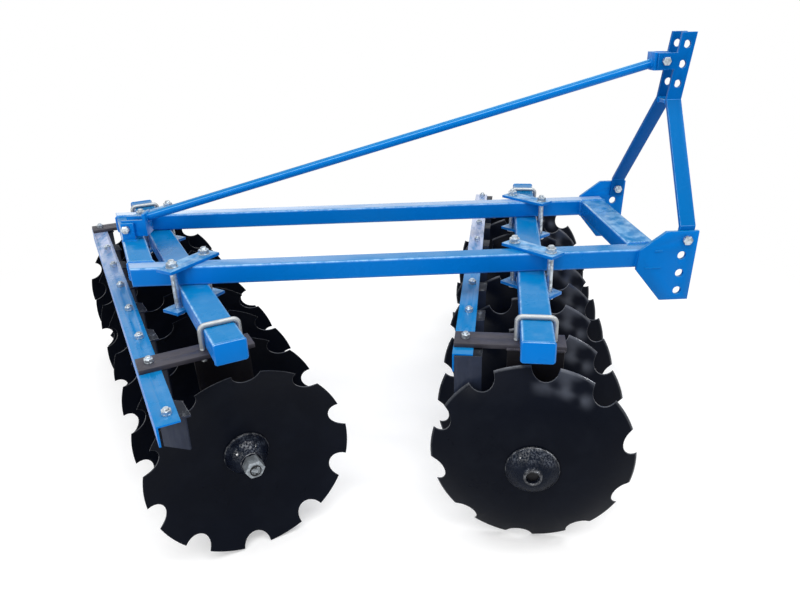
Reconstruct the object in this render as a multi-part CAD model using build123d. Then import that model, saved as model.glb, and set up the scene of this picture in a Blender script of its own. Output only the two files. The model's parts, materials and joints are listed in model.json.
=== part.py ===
# Offset disc harrow for a tractor's three-point hitch, in millimetres.
# +X points forward to the tractor, +Y to the machine's left, +Z up; it stands on its discs at Z 0.
# Inside a gang, X runs forward across the gang, Y along its shaft to the left, and the gang is
# then turned about Z and moved to its place under the frame.
from build123d import *
from math import atan2, cos, degrees, hypot, pi, radians, sin, sqrt, tan
import os

# Frame
FRAME_WIDTH = 528
RAIL_WIDTH = 50
RAIL_HEIGHT = 50
TUBE_WALL = 4
TUBE_CORNER = 6
RAIL_FRONT_X = -47
RAIL_REAR_X = -1400
REAR_CROSS_ANGLE = 22.5
REAR_CROSS_WIDTH = 60
FRONT_CROSS_WIDTH = 75

# Hitch plates, as corners (x, height above the rails' top)
PLATE_THICKNESS = 10
PLATE_CORNERS = ((38, 48), (-46, 48), (-111, 0), (-116, -54), (-45, -141), (31, -141))
MAST_BOLT_X = 8
MAST_BOLT_RISE = 25
LOWER_HOLE_RADIUS = 11
LOWER_HOLE_TOP_DROP = 17
LOWER_HOLE_STEP = 49
LOWER_HOLE_COUNT = 3

# Mast: two bent flat bars, as (x of the bar's middle, height above the mast bolt)
STRAP_WIDTH = 40
STRAP_THICKNESS = 10
STRAP_KNEE = (33, 319)
STRAP_TOP = (55, 490)
STRAP_FOOT_DROP = 24
STRAP_TAB_RISE = 34
MAST_GAP = 52
TOP_HOLE_RADIUS = 10
TOP_HOLE_RISES = (360, 410, 460)
SPACER_HEIGHT = 10
SPACER_DROP = 2
SPACER_SETBACK = 2

# Bolts: half width across the flats, heights of head and nut, end beyond the nut
BOLT_COLUMNS = ("radius", "flat", "head", "nut", "end")
FRAME_BOLT = dict(zip(BOLT_COLUMNS, (8, 12, 10, 13, 6)))
STAY_BOLT = dict(zip(BOLT_COLUMNS, (7, 10.5, 9, 11, 6)))
ARM_BOLT = dict(zip(BOLT_COLUMNS, (6, 9, 7, 10, 4)))

# Stay between the mast and the rear cross tube: front bolt as (x, height above the mast bolt),
# rear bolt as (x, height above the rails' top), pipe's ends as heights over those bolts
STAY_RADIUS = 12.25
STAY_WALL = 3
STAY_FRONT_BOLT = (-1, 418)
STAY_REAR_BOLT = (-1479, 33)
PIPE_FRONT_RISE = -8
PIPE_REAR_RISE = 25
YOKE_THICKNESS = 8
YOKE_DROP = 24
YOKE_RISE = 22
YOKE_NOSE = 14
FRONT_YOKE_REACH = 28
REAR_YOKE_REACH = 53
REAR_YOKE_BACK_RISE = 39
EAR_HEIGHT = 42
EAR_REAR_EDGE = 21
LUG_WIDTH = 34
LUG_HEIGHT = 50
LUG_THICKNESS = 10
LUG_AHEAD = 4

# Gang beams and their clamps
BEAM_WIDTH = 70
BEAM_HEIGHT = 50
CLAMP_LENGTH = 162
CLAMP_WIDTH = 52
CLAMP_THICKNESS = 8
CLAMP_BOLT_CLEARANCE = 2
RAIL_BOLT_CLEARANCE = 12

# Cross arms with their U-bolts
ARM_OFFSET = 556
ARM_WIDTH = 60
ARM_THICKNESS = 10
ARM_REAR = -180
ARM_FRONT = 66
U_BOLT_RADIUS = 6
U_BOLT_SIDE_GAP = 1
U_BOLT_BEND = 12
U_BOLT_TAIL = 8

# Gang hangers and bearings
HANGER_WIDTH = 124
HANGER_THICKNESS = 12
BEARING_RADIUS = 46
BEARING_LENGTH = 50
BEARING_FLANGE_RADIUS = 60
BEARING_FLANGE_THICKNESS = 8
RUNNING_CLEARANCE = 0.05
SEAT_GAP = 0.1

# Scrapers
BAR_LEG = 45
BAR_THICKNESS = 4
BAR_FRONT = -136
SCRAPER_BOLT_ACROSS = -155
SCRAPER_WIDTH = 60
SCRAPER_HEIGHT = 112
SCRAPER_THICKNESS = 5
SCRAPER_TAB_FRONT = -115
SCRAPER_TAB_REAR = -175
SCRAPER_TAB_BEHIND = 18

# Discs
DISC_RADIUS = 230
DISC_THICKNESS = 4
DISC_DISH = 50
DISC_FLAT_RADIUS = 58
DISC_COUNT = 8
DISC_PITCH = 182
NOTCH_COUNT = 10
NOTCH_RADIUS = 31
NOTCH_CENTRE = 231
SHAFT_SIDE = 30
SHAFT_CLEARANCE = 0.5

# Spools, end washers and the nut
SPOOL_RADIUS = 28
SPOOL_FLANGE_RADIUS = 52
SPOOL_FLANGE_LENGTH = 10
SPOOL_FLARE = 16
JOURNAL_RADIUS = 32
JOURNAL_OVERHANG = 2
NUT_FLAT = 19.5
NUT_HEIGHT = 30
NUT_STUB_RADIUS = 13
NUT_STUB_LENGTH = 3

# End washers: outer radius, height of the rim, a point of the domed side as (radius, height),
# radius of the neck, height of its foot and of its end
WASHER_COLUMNS = ("radius", "rim", "middle", "neck", "foot", "end")
CAP = dict(zip(WASHER_COLUMNS, (59.5, 5, (42, 20), 20, 26, 33)))
BELL = dict(zip(WASHER_COLUMNS, (52, 5, (43, 22), 25, 41, 45)))
CAP_BORE_DEPTH = 22
CAP_RECESS_RADIUS = 14.5

# Both gangs, front and rear
GANG_TABLE = {
    "name": ("front", "rear"),
    "x": (-339, -1373),  # beam's place on the middle line
    "turn": (-10.4, 25.2),
    "first_disc": (-680, -617),
    "hollow": (1, -1),  # side of the hollow faces, +1 left and -1 right
    "notch_turns": ((5, 14, 16, 23, 28, 0, 27, 8), (3, 2, 9, 11, 32, 12, 0, 3)),  # from the first disc on
    "beam_half": (665, 650),
    "ahead": (0, 8),  # shaft's place ahead of the beam
    "hanger_edge": (-1, 1),  # edge of the cross arms that carries the hangers, +1 left
    "bar_right": (-616, -800),
    "bar_left": (722, 596),
    "scraper_bolts": (103, -148),  # distance from the discs
    "blade_across": (-146.5, -142),
    "blade_gap": (13, 42),  # distance from the discs' rims
    "blade_turn": (5, 42),
}
GANGS = [dict(zip(GANG_TABLE, column)) for column in zip(*GANG_TABLE.values())]

# Heights that follow
SHAFT_Z = DISC_RADIUS
BEAM_CLEARANCE = 22
BEAM_BOTTOM = 2 * DISC_RADIUS + BEAM_CLEARANCE
BEAM_TOP = BEAM_BOTTOM + BEAM_HEIGHT
RAIL_TOP = BEAM_TOP + RAIL_HEIGHT
RAIL_MIDDLE_Y = (FRAME_WIDTH - RAIL_WIDTH) / 2
ARM_BOTTOM = BEAM_BOTTOM - ARM_THICKNESS
MAST_BOLT_Z = RAIL_TOP + MAST_BOLT_RISE
SIDES = (("right", -1), ("left", 1))


def box(x0, x1, y0, y1, z0, z1):
    """Block between two corners."""
    return Pos((x0 + x1) / 2, (y0 + y1) / 2, (z0 + z1) / 2) * Box(x1 - x0, y1 - y0, z1 - z0)


def rod_y(radius, y0, y1, x=0, z=0):
    """Round bar along Y."""
    return Pos(x, (y0 + y1) / 2, z) * Rot(90, 0, 0) * Cylinder(radius, y1 - y0)


def rod_z(radius, z0, z1, x=0, y=0):
    """Round bar along Z."""
    return Pos(x, y, (z0 + z1) / 2) * Cylinder(radius, z1 - z0)


def side_plate(corners, y0, y1):
    """Plate parallel to the rails: an outline in X and Z, thick from y0 to y1."""
    face = make_face(Polyline(*[(x, z) for x, z in corners], close=True))
    return Pos(0, y1, 0) * Rot(90, 0, 0) * extrude(face, y1 - y0)


def hexagon_z(flat, z0, z1, x=0, y=0):
    """Bolt head or nut along Z, with its half width across the flats."""
    face = RegularPolygon(flat, 6, major_radius=False)
    return Pos(x, y, z0) * extrude(face, z1 - z0)


def bolt_z(size, low, high):
    """Bolt along Z, its head under the height low and its nut on the height high."""
    shank = rod_z(size["radius"], low, high + size["nut"] + size["end"])
    head = hexagon_z(size["flat"], low - size["head"], low)
    return shank + head + hexagon_z(size["flat"], high, high + size["nut"])


def tube_section(width, height, inset=0):
    """Outline of a box tube, or of its bore with the wall as the inset."""
    corner = max(TUBE_CORNER - inset, TUBE_CORNER / 3)
    return RectangleRounded(width - 2 * inset, height - 2 * inset, corner)


def tube_y(width, height, y0, y1, z0):
    """Box tube along Y with closed ends, centred on X 0."""
    plane = Plane(origin=(0, y0, z0 + height / 2), x_dir=(1, 0, 0), z_dir=(0, 1, 0))
    outer = extrude(plane * tube_section(width, height), y1 - y0)
    bore = extrude(plane * tube_section(width, height, TUBE_WALL), y1 - y0)
    return outer - (bore & box(-width, width, y0 + TUBE_WALL, y1 - TUBE_WALL, z0, z0 + height))


def rear_edge_x(y):
    """Rear edge of the frame, slanted as the rear cross tube is."""
    return RAIL_REAR_X - (y + FRAME_WIDTH / 2) * tan(radians(REAR_CROSS_ANGLE))


def rail(side):
    """Closed box tube, square in front and slanted behind."""
    y0 = side * RAIL_MIDDLE_Y - RAIL_WIDTH / 2
    y1 = y0 + RAIL_WIDTH
    end = min(rear_edge_x(y0), rear_edge_x(y1))
    middle = (end, side * RAIL_MIDDLE_Y, BEAM_TOP + RAIL_HEIGHT / 2)
    plane = Plane(origin=middle, x_dir=(0, 1, 0), z_dir=(1, 0, 0))
    outer = extrude(plane * tube_section(RAIL_WIDTH, RAIL_HEIGHT), RAIL_FRONT_X - end)
    bore = extrude(plane * tube_section(RAIL_WIDTH, RAIL_HEIGHT, TUBE_WALL), RAIL_FRONT_X - end)

    def slanted(wall):
        front = RAIL_FRONT_X - wall
        rear = wall / cos(radians(REAR_CROSS_ANGLE))
        corners = [(front, y0), (front, y1), (rear_edge_x(y1) + rear, y1), (rear_edge_x(y0) + rear, y0)]
        return Pos(0, 0, BEAM_TOP) * extrude(make_face(Polyline(*corners, close=True)), RAIL_HEIGHT)

    return (outer & slanted(0)) - (bore & slanted(TUBE_WALL))


def front_cross_tube():
    """Box tube between the rails' front ends, open into them as welded tubes are."""
    half = FRAME_WIDTH / 2 - RAIL_WIDTH
    end = (RAIL_FRONT_X - FRONT_CROSS_WIDTH / 2, -half, BEAM_TOP + RAIL_HEIGHT / 2)
    plane = Plane(origin=end, x_dir=(1, 0, 0), z_dir=(0, 1, 0))
    outer = extrude(plane * tube_section(FRONT_CROSS_WIDTH, RAIL_HEIGHT), 2 * half)
    return outer - extrude(plane * tube_section(FRONT_CROSS_WIDTH, RAIL_HEIGHT, TUBE_WALL), 2 * half)


def rear_cross_tube():
    """Slanted box tube between the rails' rear ends."""
    half = FRAME_WIDTH / 2 - RAIL_WIDTH
    slant = radians(REAR_CROSS_ANGLE)
    middle_x = rear_edge_x(0) + REAR_CROSS_WIDTH / cos(slant) / 2
    reach = half / cos(slant) + REAR_CROSS_WIDTH
    origin = (middle_x, 0, BEAM_TOP + RAIL_HEIGHT / 2)
    middle = Plane(origin=origin, x_dir=(cos(slant), sin(slant), 0), z_dir=(-sin(slant), cos(slant), 0))
    outer = extrude(middle * tube_section(REAR_CROSS_WIDTH, RAIL_HEIGHT), reach, both=True)
    bore = extrude(middle * tube_section(REAR_CROSS_WIDTH, RAIL_HEIGHT, TUBE_WALL), reach, both=True)
    return (outer - bore) & box(middle_x - reach, middle_x + reach, -half, half, BEAM_TOP, RAIL_TOP)


def hitch_plate(side):
    """Plate on the rail's outer face, with the mast's bolt hole over the lower-link holes."""
    inner_y = side * FRAME_WIDTH / 2
    outer_y = inner_y + side * PLATE_THICKNESS
    y0, y1 = sorted((inner_y, outer_y))
    plate = side_plate([(x, RAIL_TOP + rise) for x, rise in PLATE_CORNERS], y0, y1)
    plate -= rod_y(FRAME_BOLT["radius"] + SEAT_GAP, y0, y1, MAST_BOLT_X, MAST_BOLT_Z)
    for row in range(LOWER_HOLE_COUNT):
        z = RAIL_TOP - LOWER_HOLE_TOP_DROP - row * LOWER_HOLE_STEP
        plate -= rod_y(LOWER_HOLE_RADIUS, y0, y1, 0, z)
    return plate


def strap_centre(rise):
    """Middle of the mast strap in X at a height above its foot bolt."""
    if rise <= STRAP_KNEE[1]:
        return MAST_BOLT_X + (STRAP_KNEE[0] - MAST_BOLT_X) * rise / STRAP_KNEE[1]
    share = (rise - STRAP_KNEE[1]) / (STRAP_TOP[1] - STRAP_KNEE[1])
    return STRAP_KNEE[0] + (STRAP_TOP[0] - STRAP_KNEE[0]) * share


def mast_strap(side):
    """Flat bar bent inwards above its foot and upright again at the knee, with the stay's ear."""
    half = STRAP_WIDTH / 2
    rises = (-STRAP_FOOT_DROP, STRAP_KNEE[1], STRAP_TOP[1])
    rear = [(strap_centre(r) - half, MAST_BOLT_Z + r) for r in rises]
    front = [(strap_centre(r) + half, MAST_BOLT_Z + r) for r in rises]
    ear_z = MAST_BOLT_Z + STAY_FRONT_BOLT[1]
    ear_x = STAY_FRONT_BOLT[0] - EAR_REAR_EDGE
    ear_join = strap_centre(STAY_FRONT_BOLT[1])
    ear = [(ear_x, ear_z - EAR_HEIGHT / 2), (ear_join, ear_z - EAR_HEIGHT / 2),
           (ear_join, ear_z + EAR_HEIGHT / 2), (ear_x, ear_z + EAR_HEIGHT / 2)]
    reach = FRAME_WIDTH
    outline = side_plate(rear + front[::-1], -reach, reach) + side_plate(ear, -reach, reach)
    foot_y = FRAME_WIDTH / 2
    top_y = MAST_GAP / 2 + STRAP_THICKNESS
    foot_inner = foot_y - STRAP_THICKNESS
    top_inner = top_y - STRAP_THICKNESS
    low, bend, knee, top = -STRAP_FOOT_DROP, STRAP_TAB_RISE, STRAP_KNEE[1], STRAP_TOP[1]
    lean = (foot_y - top_y) / (knee - bend)
    level = STRAP_THICKNESS * (sqrt(1 + lean * lean) - 1) / lean
    outer_line = [(foot_y, low), (foot_y, bend), (top_y, knee), (top_y, top)]
    inner_line = [(foot_inner, low), (foot_inner, bend - level), (top_inner, knee - level), (top_inner, top)]
    profile = [(side * y, MAST_BOLT_Z + z) for y, z in outer_line + inner_line[::-1]]
    face = make_face(Plane.YZ * Polyline(*profile, close=True))
    band = extrude(face, STRAP_TOP[0] + STRAP_WIDTH, both=True, dir=(1, 0, 0))
    strap = band & outline
    bolt_wall = sorted((side * foot_inner, side * foot_y))
    strap -= rod_y(FRAME_BOLT["radius"] + SEAT_GAP, *bolt_wall, MAST_BOLT_X, MAST_BOLT_Z)
    head_wall = sorted((side * top_inner, side * top_y))
    for rise in TOP_HOLE_RISES:
        strap -= rod_y(TOP_HOLE_RADIUS, *head_wall, strap_centre(rise), MAST_BOLT_Z + rise)
    return strap - rod_y(STAY_BOLT["radius"] + SEAT_GAP, *head_wall, STAY_FRONT_BOLT[0], ear_z)


def mast_spacer():
    """Flat piece welded between the straps at the knee."""
    top = MAST_BOLT_Z + STRAP_KNEE[1] - SPACER_DROP
    x = strap_centre(STRAP_KNEE[1] - SPACER_DROP)
    half = STRAP_WIDTH / 2 - SPACER_SETBACK
    return box(x - half, x + half, -MAST_GAP / 2, MAST_GAP / 2, top - SPACER_HEIGHT, top)


def mast_foot_bolts():
    """One bolt through each hitch plate and strap foot, head outside."""
    inner = FRAME_WIDTH / 2 - STRAP_THICKNESS
    outer = FRAME_WIDTH / 2 + PLATE_THICKNESS
    inwards = bolt_z(FRAME_BOLT, -outer, -inner)
    return [Pos(MAST_BOLT_X, 0, MAST_BOLT_Z) * Rot(90 * side, 0, 0) * inwards for _, side in SIDES]


def stay_ends():
    """Bolt centres of the stay at the mast and at the rear lugs."""
    front_x, front_rise = STAY_FRONT_BOLT
    rear_x, rear_rise = STAY_REAR_BOLT
    return (front_x, MAST_BOLT_Z + front_rise), (rear_x, RAIL_TOP + rear_rise)


def yoke(centre, reach, back_rise):
    """U-shaped end of the stay on a bolt; the sign of the reach says where its back lies."""
    x, z = centre
    half = MAST_GAP / 2
    back = x + reach
    facing = -1 if reach > 0 else 1
    nose = x + facing * YOKE_NOSE
    inside = back + facing * YOKE_THICKNESS
    body = box(*sorted((back, nose)), -half, half, z - YOKE_DROP, z + YOKE_RISE)
    body += box(*sorted((back, inside)), -half, half, z - YOKE_DROP, z + back_rise)
    inner = half - YOKE_THICKNESS
    body -= box(*sorted((inside, nose)), -inner, inner, z - YOKE_DROP, z + YOKE_RISE)
    return body - rod_y(STAY_BOLT["radius"] + SEAT_GAP, -half, half, x, z)


def stay_pipe():
    """Pipe from the back of one yoke to the back of the other, its ends cut upright."""
    (front_x, front_z), (rear_x, rear_z) = stay_ends()
    x0, x1 = rear_x + REAR_YOKE_REACH, front_x - FRONT_YOKE_REACH
    z0, z1 = rear_z + PIPE_REAR_RISE, front_z + PIPE_FRONT_RISE
    length = hypot(x1 - x0, z1 - z0)
    axis = Plane(origin=(x0, 0, z0), z_dir=(x1 - x0, 0, z1 - z0)) * Pos(0, 0, length / 2)
    longer = length + 2 * STAY_RADIUS
    pipe = axis * (Cylinder(STAY_RADIUS, longer) - Cylinder(STAY_RADIUS - STAY_WALL, longer))
    return pipe & box(x0, x1, -STAY_RADIUS, STAY_RADIUS, z0 - longer, z1 + longer)


def stay_bolts():
    """Bolts through the ears and the lugs, heads on the right."""
    half = MAST_GAP / 2 + STRAP_THICKNESS
    leftwards = Rot(-90, 0, 0) * bolt_z(STAY_BOLT, -half, half)
    return [Pos(x, 0, z) * leftwards for x, z in stay_ends()]


def stay_lugs():
    """Two upright plates on the rear cross tube."""
    x, z = stay_ends()[1]
    x0 = x + LUG_AHEAD - LUG_WIDTH / 2
    lugs = []
    for _, side in SIDES:
        y0, y1 = sorted((side * MAST_GAP / 2, side * (MAST_GAP / 2 + LUG_THICKNESS)))
        plate = box(x0, x0 + LUG_WIDTH, y0, y1, RAIL_TOP, RAIL_TOP + LUG_HEIGHT)
        lugs.append(plate - rod_y(STAY_BOLT["radius"] + SEAT_GAP, y0, y1, x, z))
    return lugs


def place(gang, shapes):
    """Turn shapes made in a gang's own directions and move them to its beam's place."""
    where = Pos(gang["x"], 0, 0) * Rot(0, 0, gang["turn"])
    return [where * shape for shape in shapes]


def gang_beam(gang):
    """Closed box tube that carries one gang."""
    return tube_y(BEAM_WIDTH, BEAM_HEIGHT, -gang["beam_half"], gang["beam_half"], BEAM_BOTTOM)


def clamp_places(gang):
    """Middle of each crossing of beam and rail, and the vector from it to one of its two bolts."""
    turn = radians(gang["turn"])
    to_rail = RAIL_WIDTH / 2 + FRAME_BOLT["radius"] + RAIL_BOLT_CLEARANCE
    to_beam = BEAM_WIDTH / 2 + FRAME_BOLT["radius"] + CLAMP_BOLT_CLEARANCE
    corner = 1 if turn > 0 else -1
    bolt_x = (corner * to_beam - to_rail * sin(turn)) / cos(turn)
    places = []
    for _, side in SIDES:
        y = side * RAIL_MIDDLE_Y
        places.append((gang["x"] - y * tan(turn), y))
    return places, (bolt_x, to_rail)


def clamp_parts():
    """Flat bars above and below every crossing, and the bolts that pull them together."""
    upper, lower, bolts = [], [], []
    half_length = CLAMP_LENGTH / 2
    half_width = CLAMP_WIDTH / 2
    bottom = BEAM_BOTTOM - CLAMP_THICKNESS
    bolt = bolt_z(FRAME_BOLT, bottom, RAIL_TOP + CLAMP_THICKNESS)
    for gang in GANGS:
        places, (bolt_x, bolt_y) = clamp_places(gang)
        reach = hypot(bolt_x, bolt_y)
        bar = box(-half_length, half_length, -half_width, half_width, 0, CLAMP_THICKNESS)
        for end in (-1, 1):
            bar -= rod_z(FRAME_BOLT["radius"] + SEAT_GAP, 0, CLAMP_THICKNESS, end * reach)
        turned = Rot(0, 0, degrees(atan2(bolt_y, bolt_x))) * bar
        for x, y in places:
            upper.append(Pos(x, y, RAIL_TOP) * turned)
            lower.append(Pos(x, y, bottom) * turned)
            for end in (-1, 1):
                bolts.append(Pos(x + end * bolt_x, y + end * bolt_y, 0) * bolt)
    return upper, lower, bolts


def u_bolt(y):
    """Round bar over the beam, its legs through the cross arm, with a nut on each."""
    side = BEAM_WIDTH / 2 + U_BOLT_SIDE_GAP + U_BOLT_RADIUS
    top = BEAM_TOP + U_BOLT_RADIUS
    nut_bottom = ARM_BOTTOM - ARM_BOLT["nut"]
    low = nut_bottom - U_BOLT_TAIL
    corners = [(-side, y, low), (-side, y, top), (side, y, top), (side, y, low)]
    path = FilletPolyline(*corners, radius=U_BOLT_BEND)
    body = sweep(Plane(origin=(-side, y, low), z_dir=(0, 0, 1)) * Circle(U_BOLT_RADIUS), path=path)
    for x in (-side, side):
        body += hexagon_z(ARM_BOLT["flat"], nut_bottom, ARM_BOTTOM, x, y)
    return body


def cross_arm(y):
    """Flat bar under the beam that reaches back over the scraper bar."""
    side = BEAM_WIDTH / 2 + U_BOLT_SIDE_GAP + U_BOLT_RADIUS
    arm = box(ARM_REAR, ARM_FRONT, y - ARM_WIDTH / 2, y + ARM_WIDTH / 2, ARM_BOTTOM, BEAM_BOTTOM)
    for x in (-side, side):
        arm -= rod_z(U_BOLT_RADIUS + SEAT_GAP, ARM_BOTTOM, BEAM_BOTTOM, x, y)
    return arm - rod_z(ARM_BOLT["radius"] + SEAT_GAP, ARM_BOTTOM, BEAM_BOTTOM, SCRAPER_BOLT_ACROSS, y)


def hanger_place(gang, arm_y):
    """Middle of a hanger along the gang, its outer face flush with one edge of the cross arm."""
    return arm_y + gang["hanger_edge"] * (ARM_WIDTH - HANGER_THICKNESS) / 2


def hanger(gang, arm_y):
    """Upright bar from the cross arm down to the bearing, its lower end round."""
    ahead = gang["ahead"]
    half = HANGER_WIDTH / 2
    y0 = hanger_place(gang, arm_y) - HANGER_THICKNESS / 2
    y1 = y0 + HANGER_THICKNESS
    corners = [(-half, ARM_BOTTOM), (half, ARM_BOTTOM), (ahead + half, SHAFT_Z), (ahead - half, SHAFT_Z)]
    plate = side_plate(corners, y0, y1)
    plate += rod_y(half, y0, y1, ahead, SHAFT_Z)
    return plate - rod_y(BEARING_RADIUS + SEAT_GAP, y0, y1, ahead, SHAFT_Z)


def bearing(gang, arm_y):
    """Housing through the hanger's eye, with its flange on the plate's inner face."""
    ahead = gang["ahead"]
    y = hanger_place(gang, arm_y)
    y0 = y - BEARING_LENGTH / 2
    y1 = y + BEARING_LENGTH / 2
    face_y = y - gang["hanger_edge"] * HANGER_THICKNESS / 2
    flange = sorted((face_y, face_y - gang["hanger_edge"] * BEARING_FLANGE_THICKNESS))
    body = rod_y(BEARING_RADIUS, y0, y1, ahead, SHAFT_Z)
    body += rod_y(BEARING_FLANGE_RADIUS, *flange, ahead, SHAFT_Z)
    return body - rod_y(JOURNAL_RADIUS + RUNNING_CLEARANCE, y0, y1, ahead, SHAFT_Z)


def scraper_places(gang):
    """Bolt place of each scraper along the gang; near a cross arm it is the arm's own bolt."""
    places = []
    for disc_y in disc_positions(gang):
        y = disc_y + gang["scraper_bolts"]
        for arm_y in (-ARM_OFFSET, ARM_OFFSET):
            if abs(y - arm_y) < ARM_WIDTH:
                y = arm_y
        places.append(y)
    return places


def scraper_bar(gang):
    """Angle bar under the cross arms, its upright leg at the rear."""
    rear = BAR_FRONT - BAR_LEG
    low = ARM_BOTTOM - BAR_THICKNESS
    y0, y1 = gang["bar_right"], gang["bar_left"]
    bar = box(rear, BAR_FRONT, y0, y1, low, ARM_BOTTOM)
    bar += box(rear, rear + BAR_THICKNESS, y0, y1, ARM_BOTTOM - BAR_LEG, ARM_BOTTOM)
    for y in scraper_places(gang):
        bar -= rod_z(ARM_BOLT["radius"] + SEAT_GAP, low, ARM_BOTTOM, SCRAPER_BOLT_ACROSS, y)
    return bar


def scraper(gang, bolt_y, disc_y):
    """Flat bar bolted under the angle bar, bent down into a blade that faces the disc's hollow side."""
    top = ARM_BOTTOM - BAR_THICKNESS
    tab_bottom = top - SCRAPER_THICKNESS
    x = gang["blade_across"]
    y = disc_y + gang["hollow"] * (DISC_DISH + gang["blade_gap"])
    turn = gang["hollow"] * gang["blade_turn"]
    half = SCRAPER_WIDTH / 2
    half_thick = SCRAPER_THICKNESS / 2
    blade = box(-half, half, -half_thick, half_thick, top - SCRAPER_HEIGHT, top)
    blade = Pos(x, y, 0) * Rot(0, 0, turn) * blade
    run_x = half * cos(radians(turn))
    run_y = half * sin(radians(turn))
    behind = bolt_y + gang["hollow"] * SCRAPER_TAB_BEHIND
    straight = [(SCRAPER_TAB_REAR, behind), (SCRAPER_TAB_FRONT, behind)]
    slanted = [(x + run_x, y + run_y), (x - run_x, y - run_y)]
    tab = make_face(Polyline(*straight, *slanted, close=True))
    bent = blade + Pos(0, 0, tab_bottom) * extrude(tab, SCRAPER_THICKNESS, dir=(0, 0, 1))
    return bent - rod_z(ARM_BOLT["radius"] + SEAT_GAP, tab_bottom, top, SCRAPER_BOLT_ACROSS, bolt_y)


def scraper_bolts(gang):
    """Bolts with their heads under the scrapers and their nuts on top."""
    low = ARM_BOTTOM - BAR_THICKNESS - SCRAPER_THICKNESS
    bolts = []
    for y in scraper_places(gang):
        seat = BEAM_BOTTOM if abs(y) == ARM_OFFSET else ARM_BOTTOM
        bolts.append(Pos(SCRAPER_BOLT_ACROSS, y, 0) * bolt_z(ARM_BOLT, low, seat))
    return bolts


def notched_dish():
    """Dished disc with notches round its rim, hub plane at Y 0, hollow to the left, one notch on top."""
    run = DISC_RADIUS - DISC_FLAT_RADIUS
    radius = (run * run + DISC_DISH * DISC_DISH) / (2 * DISC_DISH)
    half = DISC_THICKNESS / 2

    def rim_line(shift):
        mid_run = run / 2
        mid_depth = radius - sqrt(radius * radius - mid_run * mid_run)
        return ThreePointArc((DISC_FLAT_RADIUS, shift), (DISC_FLAT_RADIUS + mid_run, mid_depth + shift),
                             (DISC_RADIUS, DISC_DISH + shift))

    inner = rim_line(half)
    outer = rim_line(-half)
    flat = Polyline(inner @ 0, (0, half), (0, -half), outer @ 0)
    profile = make_face([inner, Line(inner @ 1, outer @ 1), outer, *flat.edges()])
    dish = revolve(profile, Axis.Y)
    notch_start = DISC_DISH / 4
    for index in range(NOTCH_COUNT):
        angle = 2 * pi * index / NOTCH_COUNT
        x, z = NOTCH_CENTRE * sin(angle), NOTCH_CENTRE * cos(angle)
        dish -= rod_y(NOTCH_RADIUS, notch_start, DISC_DISH + DISC_THICKNESS, x, z)
    return dish


def disc_positions(gang):
    return [gang["first_disc"] + index * DISC_PITCH for index in range(DISC_COUNT)]


def discs(gang):
    """Discs of one gang on their square holes, each with its notches turned from upright forwards."""
    half = DISC_THICKNESS / 2
    dish = notched_dish() if gang["hollow"] > 0 else mirror(notched_dish(), Plane.XZ)
    hole = hub_bore(-half, half)
    places = zip(disc_positions(gang), gang["notch_turns"])
    return [Pos(0, y, 0) * (Rot(0, turn, 0) * dish - hole) for y, turn in places]


def hub_bore(y0, y1):
    side = SHAFT_SIDE + 2 * SHAFT_CLEARANCE
    return box(-side / 2, side / 2, y0, y1, -side / 2, side / 2)


def spool(y0, y1, journal_y):
    """Cast distance piece between two discs; where a bearing carries the gang its middle is a journal."""
    body = rod_y(SPOOL_RADIUS, y0, y1)
    flare = Cone(SPOOL_FLANGE_RADIUS, SPOOL_RADIUS, SPOOL_FLARE)
    for base, sign in ((y0, 1), (y1, -1)):
        tip = base + sign * SPOOL_FLANGE_LENGTH
        body += rod_y(SPOOL_FLANGE_RADIUS, *sorted((base, tip)))
        body += Pos(0, tip + sign * SPOOL_FLARE / 2, 0) * Rot(-90 * sign, 0, 0) * flare
    if journal_y is not None:
        reach = BEARING_LENGTH / 2 + JOURNAL_OVERHANG
        journal = rod_y(JOURNAL_RADIUS, journal_y - reach, journal_y + reach)
        body += journal
        body -= rod_y(2 * SPOOL_FLANGE_RADIUS, journal_y - reach, journal_y + reach) - journal
    return body - hub_bore(y0, y1)


def gang_spools(gang):
    places = disc_positions(gang)
    half = DISC_THICKNESS / 2
    spools = []
    bearings = [hanger_place(gang, arm_y) for arm_y in (-ARM_OFFSET, ARM_OFFSET)]
    for left, right in zip(places, places[1:]):
        journal = [y for y in bearings if left < y < right]
        spools.append(spool(left + half, right - half, journal[0] if journal else None))
    return spools


def end_washer(size):
    """Domed washer on a gang's end disc, its back in the plane Y 0 and its neck towards +Y."""
    radius, rim, neck, foot, end = (size[key] for key in ("radius", "rim", "neck", "foot", "end"))
    dome = ThreePointArc((radius, rim), size["middle"], (neck, foot))
    below = Polyline((0, 0), (radius, 0), (radius, rim))
    above = Polyline((neck, foot), (neck, end), (0, end), (0, 0))
    return revolve(make_face([*below.edges(), dome, *above.edges()]), Axis.Y)


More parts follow.
